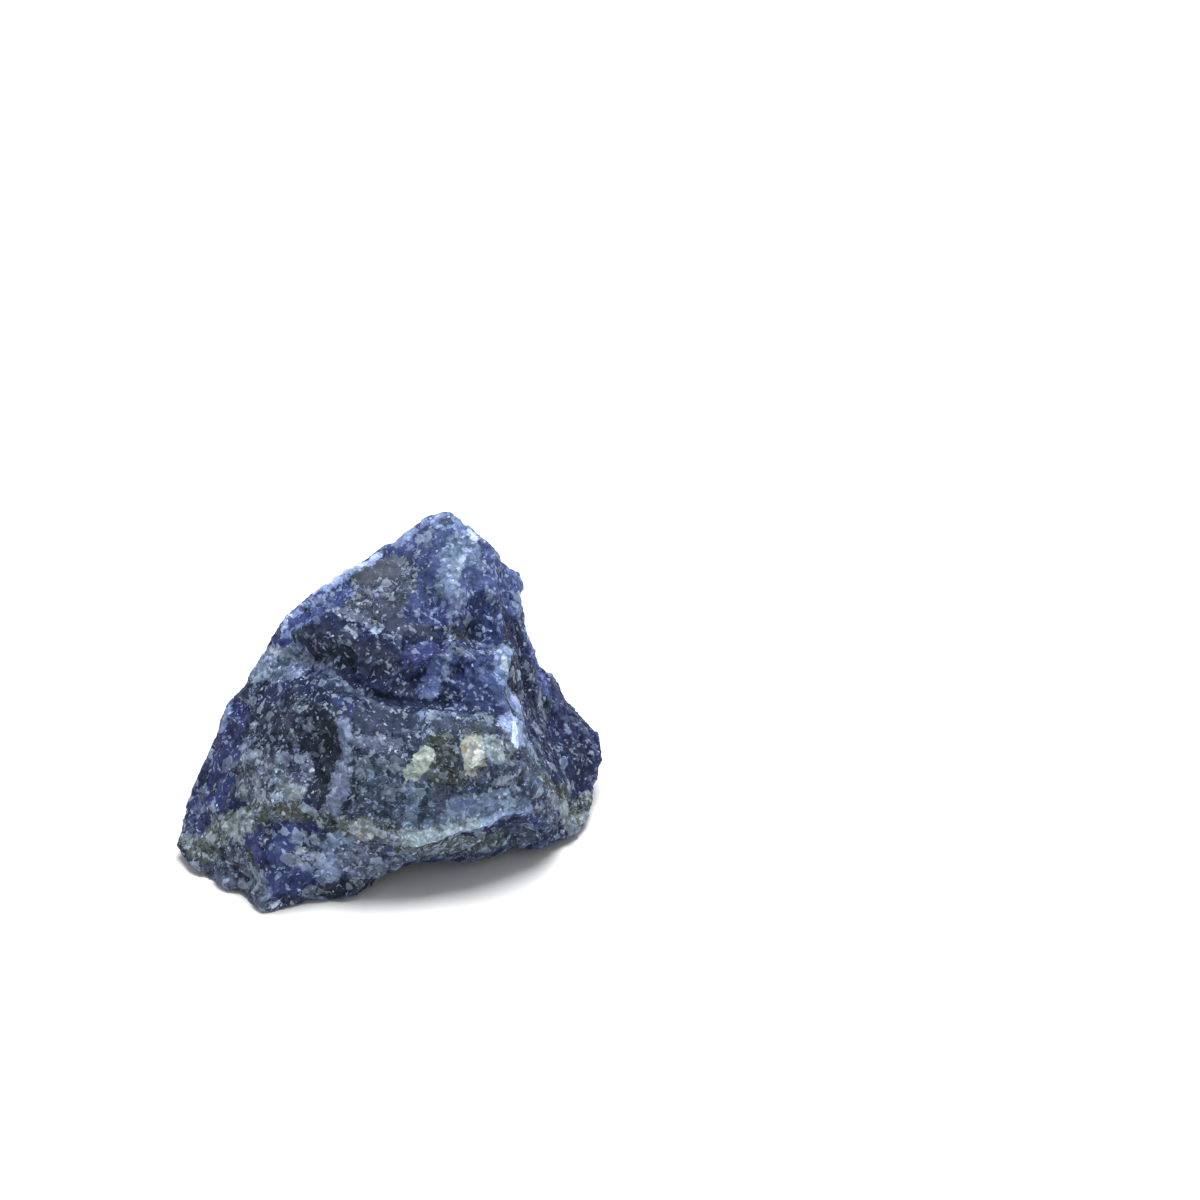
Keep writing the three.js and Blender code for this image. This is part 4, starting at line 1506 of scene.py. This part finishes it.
@dataclass(frozen=True)
class Sodalite:
    """The stone's finish: minerals in ragged patches, a mosaic of grains, pale flakes, paler rubbed edges
    that are partly a painted highlight, and painted shade in the hollows.
    """

    ior: float = 1.13
    base: Mineral = Mineral.CHARCOAL
    borders: tuple[RaggedBorder, ...] = (
        RaggedBorder(grain=0.9, wander=2.0),
        RaggedBorder(grain=0.55, wander=1.1),
        RaggedBorder(grain=0.4, wander=0.6),
    )
    vein_radius: float = 1.5
    mottle_width: float = 2.4
    mottle: float = 1.5
    detail: float = 3.0
    tint: float = 0.055
    calm: float = 0.3
    grains: tuple[GrainTone, ...] = (
        GrainTone(width=1.7, spread=0.14, lean=0.05),
        GrainTone(width=0.8, spread=0.28, lean=0.2),
        GrainTone(width=0.4, spread=0.38, lean=0.3),
    )
    uneven_roughness: float = 0.25
    grit_width: float = 0.22
    grit_height: float = 0.02
    shades: tuple[FlakeKind, ...] = (
        FlakeKind(Flecks(), 2.2, (0.5, -0.4, 0.77), 1.4, 0.2, 0.4, "#0b0f1a"),
        FlakeKind(Flecks(), 0.8, (-0.3, -0.5, 0.81), 1.8, 0.18, 0.75, "#0b0f1a"),
    )
    flakes: tuple[FlakeKind, ...] = (
        FlakeKind(Plates(), 1.9, (0.4, -0.3, 0.87), 1.3, 0.08, 0.62, "#75828d"),
        FlakeKind(Plates(), 1.5, (0.7, -0.3, -0.6), 1.4, 0.11, 0.68, "#818e9b", highest=24.0),
        FlakeKind(Plates(), 1.1, (-0.5, 0.3, 0.81), 1.4, 0.11, 0.7, "#808d9b"),
        FlakeKind(Flecks(), 1.9, (0.7, -0.5, 0.51), 1.3, 0.12, 0.45, "#7a8896"),
        FlakeKind(Flecks(), 0.75, (-0.3, -0.4, 0.87), 1.3, 0.16, 0.72, "#8492a1"),
        FlakeKind(Flecks(), 0.8, (0.78, -0.45, -0.44), 2.3, 0.13, 0.7, "#95a2b6", lowest=25.0, highest=34.0),
        FlakeKind(Flecks(), 0.7, (0.72, 0.0, 0.69), 2.8, 0.22, 0.7, "#93a0b9", lowest=34.0),
        FlakeKind(Plates(), 0.6, (0.25, -0.3, 0.92), 1.8, 0.14, 0.68, "#8a98a4"),
        # painted glints: tiny white specks in place of specular sparkle
        FlakeKind(Plates(), 0.34, (0.0, 0.0, 1.0), 1.0, 0.03, 0.9, "#a9b6c9"),
    )
    crowd_width: float = 3.4
    crowd_detail: float = 1.0
    crowd_span: tuple[float, float] = (0.3, 0.7)
    crowd_least: float = 0.3
    crowd_more: float = 1.5
    flake_gloss: float = 0.2
    dash_widths: tuple[float, ...] = (1.5, 0.8)
    dash_strength: float = 0.9
    glow: str = "#6c7c9f"
    # the dark of the streaks, and also the painted shade of the hollows
    dark: str = "#0f1524"
    streak_way: Place = (0.2, -0.45, -0.87)
    streak_width: float = 0.6
    streak_stretch: float = 8.0
    streak_dark: float = 0.6
    streak_light: float = 0.4
    # paler rubbed edges, partly a painted highlight on the crests
    edge_pale_and_highlight: float = 0.28
    # painted shade in the hollows
    hollow_painted_shade: float = 0.4

    def build(self) -> bpy.types.Material:
        """Makes the material.

        Returns:
            The material, for the skin.
        """
        material = bpy.data.materials.new("sodalite_rock")
        material.use_nodes = True
        wiring = Wiring(material.node_tree)
        shader = material.node_tree.nodes["Principled BSDF"]
        shader.inputs["IOR"].default_value = self.ior
        inside = wiring.tree.nodes.new("ShaderNodeTexCoord").outputs["Object"]
        point = wiring.vector("SCALE", inside, 1 / MM)
        places = Places(point, *(
            RaggedPoint().place(wiring, point=point, grain=border.grain, wander=border.wander)["point"]
            for border in self.borders
        ))
        rock, height = self.grained(wiring, places, self.minerals(wiring, places))
        dressed = self.flaked(wiring, point, rock)
        bump = wiring.node("ShaderNodeBump", Height=height, Distance=MM, Strength=1.0)
        wiring.feed(shader.inputs["Base Color"], self.edge_lit_and_hollow_shaded(wiring, dressed.colour))
        wiring.feed(shader.inputs["Roughness"], dressed.rough)
        wiring.feed(shader.inputs["Normal"], bump.outputs["Normal"])
        return material

    def minerals(self, wiring: Wiring, places: Places) -> Ground:
        """Lays the seams that run all through the rock, then the spots that have their places.

        Args:
            wiring: The material's tree.
            places: The place on the stone.

        Returns:
            The rock's colour and traits.
        """
        ground = Ground(linear(self.base.value.tone), self.base.value.traits)
        for seam in SEAMS:
            look = seam.mineral.value
            ground = ground.overgrown(
                wiring, Cloud(), linear(look.tone), look,
                point=places.plain, start=seam.start, width=seam.width, level=seam.level,
            )
        for spot in SPOTS:
            soft = places.steady if spot.radius < self.vein_radius else places.ragged
            ground = ground.overgrown(
                wiring, Patch(), spot.colour, spot.mineral.value,
                point=places.crisp if spot.crisp else soft, start=spot.start, end=spot.end,
                radius=spot.radius, strength=spot.strength,
            )
        return ground

    def grained(self, wiring: Wiring, places: Places, ground: Ground) -> tuple[Rock, Value]:
        """Breaks the minerals up into grains of uneven tone and roughness.

        Args:
            wiring: The material's tree.
            places: The place on the stone.
            ground: The rock's colour and traits.

        Returns:
            The grained rock, and the height of its finest relief in millimetres.
        """
        traits = wiring.node("ShaderNodeSeparateXYZ", Vector=ground.traits)
        flaky, rough, streaky = traits.outputs
        slow = wiring.noise(places.steady, self.mottle_width, self.detail).outputs["Fac"]
        lively = wiring.maths("MULTIPLY_ADD", flaky, 1 - self.calm, self.calm)
        swing = wiring.maths("MULTIPLY", wiring.maths("SUBTRACT", slow, MIDDLE), lively)
        mottle = wiring.maths("MULTIPLY_ADD", swing, self.mottle, 1.0)
        colour = wiring.vector("SCALE", wiring.as_place(ground.colour), mottle)
        height: Value = 0.0
        for grains in self.grains:
            grain = Grains().place(wiring, point=places.plain, width=grains.width)
            spread = wiring.maths("MULTIPLY", lively, 2 * grains.spread)
            off = wiring.maths("SUBTRACT", grain["tone"], MIDDLE)
            light = wiring.maths("MULTIPLY_ADD", off, spread, 1.0)
            tint = wiring.vector("ADD", wiring.vector("SCALE", grain["tint"], self.tint), (1.0,) * 3)
            colour = wiring.vector("MULTIPLY", wiring.vector("SCALE", colour, light), tint)
            height = wiring.maths("MULTIPLY_ADD", grain["height"], grains.lean, height)
            rough = wiring.maths("MULTIPLY_ADD", off, self.uneven_roughness, rough)
        grit = wiring.noise(places.plain, self.grit_width, self.detail).outputs["Fac"]
        height = wiring.maths("MULTIPLY_ADD", grit, self.grit_height, height)
        return Rock(colour, rough, flaky, streaky), height

    def flaked(self, wiring: Wiring, point: Value, rock: Rock) -> Rock:
        """Draws streaks, dark and pale flakes and thin pale dashes on the grained rock.

        Args:
            wiring: The material's tree.
            point: The place on the stone, in millimetres.
            rock: The grained rock.

        Returns:
            The same rock, dressed.
        """
        ground = self.streaked(wiring, point, rock)
        colour, rough = ground, rock.rough
        for kind in self.shades:
            mask = wiring.maths("MULTIPLY", kind.mask(wiring, point, kind.share), rock.flaky)
            colour = wiring.sunk(colour, kind.tone, mask, kind.strength)
        slow = wiring.noise(point, self.crowd_width, self.crowd_detail).outputs["Fac"]
        crowd = wiring.rise(slow, *self.crowd_span)
        crowd = wiring.maths("MULTIPLY_ADD", crowd, self.crowd_more, self.crowd_least)
        crowding = wiring.maths("MULTIPLY", rock.flaky, crowd)
        height = wiring.node("ShaderNodeSeparateXYZ", Vector=point).outputs["Z"]
        for kind in self.flakes:
            mask = kind.mask(wiring, point, kind.crowded(wiring, crowding, height))
            colour = wiring.lit(colour, ground, kind.tone, mask, kind.strength)
            rough = wiring.maths("MULTIPLY_ADD", mask, -self.flake_gloss, rough)
        for width in self.dash_widths:
            mask = Dashes().place(wiring, point=point, width=width, share=rock.flaky)["mask"]
            colour = wiring.lit(colour, ground, self.glow, mask, self.dash_strength)
        return Rock(colour, rough, rock.flaky, rock.streaky)

    def streaked(self, wiring: Wiring, point: Value, rock: Rock) -> Value:
        """Draws light and dark streaks on the rock that has them.

        Args:
            wiring: The material's tree.
            point: The place on the stone, in millimetres.
            rock: The grained rock.

        Returns:
            The rock's colour with the streaks.
        """
        streaks = Streaks().place(
            wiring, point=point, way=self.streak_way, width=self.streak_width, stretch=self.streak_stretch
        )
        dark = wiring.maths("MULTIPLY", streaks["dark"], rock.streaky)
        colour = wiring.sunk(rock.colour, self.dark, dark, self.streak_dark)
        light = wiring.maths("MULTIPLY", streaks["light"], rock.streaky)
        return wiring.lit(colour, colour, self.glow, light, self.streak_light)

    def edge_lit_and_hollow_shaded(self, wiring: Wiring, colour: Value) -> Value:
        """Lightens the standing edges, as paler crushed crystal and partly as a painted highlight, and
        paints shade into the hollows.

        Args:
            wiring: The material's tree.
            colour: The rock's colour.

        Returns:
            The rock's colour with lightened edges and painted shade in the hollows.
        """
        shape_note = EdgesAndHollowShade().place(wiring)
        lit = wiring.lit(colour, colour, self.glow, shape_note[ShapeNote.EDGE.value], self.edge_pale_and_highlight)
        return wiring.sunk(lit, self.dark, shape_note[ShapeNote.HOLLOW.value], self.hollow_painted_shade)


# ---------------------------------------------------------------------------------------------
# Studio
# ---------------------------------------------------------------------------------------------


@dataclass(frozen=True)
class SoftBox:
    """A square soft light: where it hangs, what it points at, its width and its power."""

    name: str
    place: Place
    target: Place
    width: float
    power: float


@dataclass
class Studio:
    """A plain pale floor, a soft light and the camera. Lengths are in metres."""

    floor_width: float = 6.0
    floor_tone: float = 0.86
    floor_roughness: float = 0.9
    air_tone: float = 0.45
    light: SoftBox = SoftBox("ceiling_light", (0.12, 0.05, 1.0), (0.0, 0.0, 0.0), 0.5, 14.0)
    lens: float = 85.0
    film: float = 36.0
    elevation: float = 32.0
    distance: float = 0.417
    nearest: float = 0.01
    aim: Place = (0.0271, 0.0522, 0.0)

    def build(self) -> None:
        """Sets up the floor, the air, the light and the camera."""
        self.lay_floor()
        self.fill_air()
        self.hang_light()
        self.place_camera()
        bpy.context.scene.view_settings.view_transform = "Standard"

    def lay_floor(self) -> None:
        """Lays a floor wide enough to fill every view."""
        half = self.floor_width / 2
        corners = [(-half, -half, 0), (half, -half, 0), (half, half, 0), (-half, half, 0)]
        mesh = bpy.data.meshes.new("floor")
        mesh.from_pydata(corners, [], [(0, 1, 2, 3)])
        floor = put_in_scene("floor", mesh)
        material = bpy.data.materials.new("floor_paper")
        material.use_nodes = True
        shader = material.node_tree.nodes["Principled BSDF"]
        shader.inputs["Base Color"].default_value = (self.floor_tone,) * 3 + (1.0,)
        shader.inputs["Roughness"].default_value = self.floor_roughness
        mesh.materials.append(material)

    def fill_air(self) -> None:
        """Fills the room with even light."""
        world = bpy.data.worlds.new("air")
        world.use_nodes = True
        background = world.node_tree.nodes["Background"]
        background.inputs["Color"].default_value = (self.air_tone,) * 3 + (1.0,)
        background.inputs["Strength"].default_value = 1.0
        bpy.context.scene.world = world

    def hang_light(self) -> None:
        """Hangs the soft light."""
        box = self.light
        light = bpy.data.lights.new(box.name, "AREA")
        light.shape = "SQUARE"
        light.size = box.width
        light.energy = box.power
        lamp = put_in_scene(box.name, light)
        lamp.location = box.place
        look = Vector(box.target) - Vector(box.place)
        lamp.rotation_euler = look.to_track_quat("-Z", "Y").to_euler()

    def place_camera(self) -> None:
        """Places the camera straight in front, looking down at the stone."""
        tilt = math.radians(self.elevation)
        sight = Vector((0, math.cos(tilt), -math.sin(tilt)))
        camera = bpy.data.cameras.new("camera")
        camera.lens = self.lens
        camera.sensor_width = self.film
        camera.clip_start = self.nearest
        body = put_in_scene("camera", camera)
        body.location = Vector(self.aim) - sight * self.distance
        body.rotation_euler = sight.to_track_quat("-Z", "Y").to_euler()
        bpy.context.scene.camera = body


def main() -> None:
    """Builds the stone's skin and the studio round it."""
    logging.basicConfig(level=logging.INFO, format="%(message)s")
    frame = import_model()
    Studio().build()
    LOG.info("studio set up")
    stone = BrokenSkin()
    skin = stone.build(frame["nodes"][NODE])
    stone.dress(skin, Sodalite())
    LOG.info("%s built with %d faces", skin.name, len(skin.data.polygons))


if __name__ == "__main__":
    main()
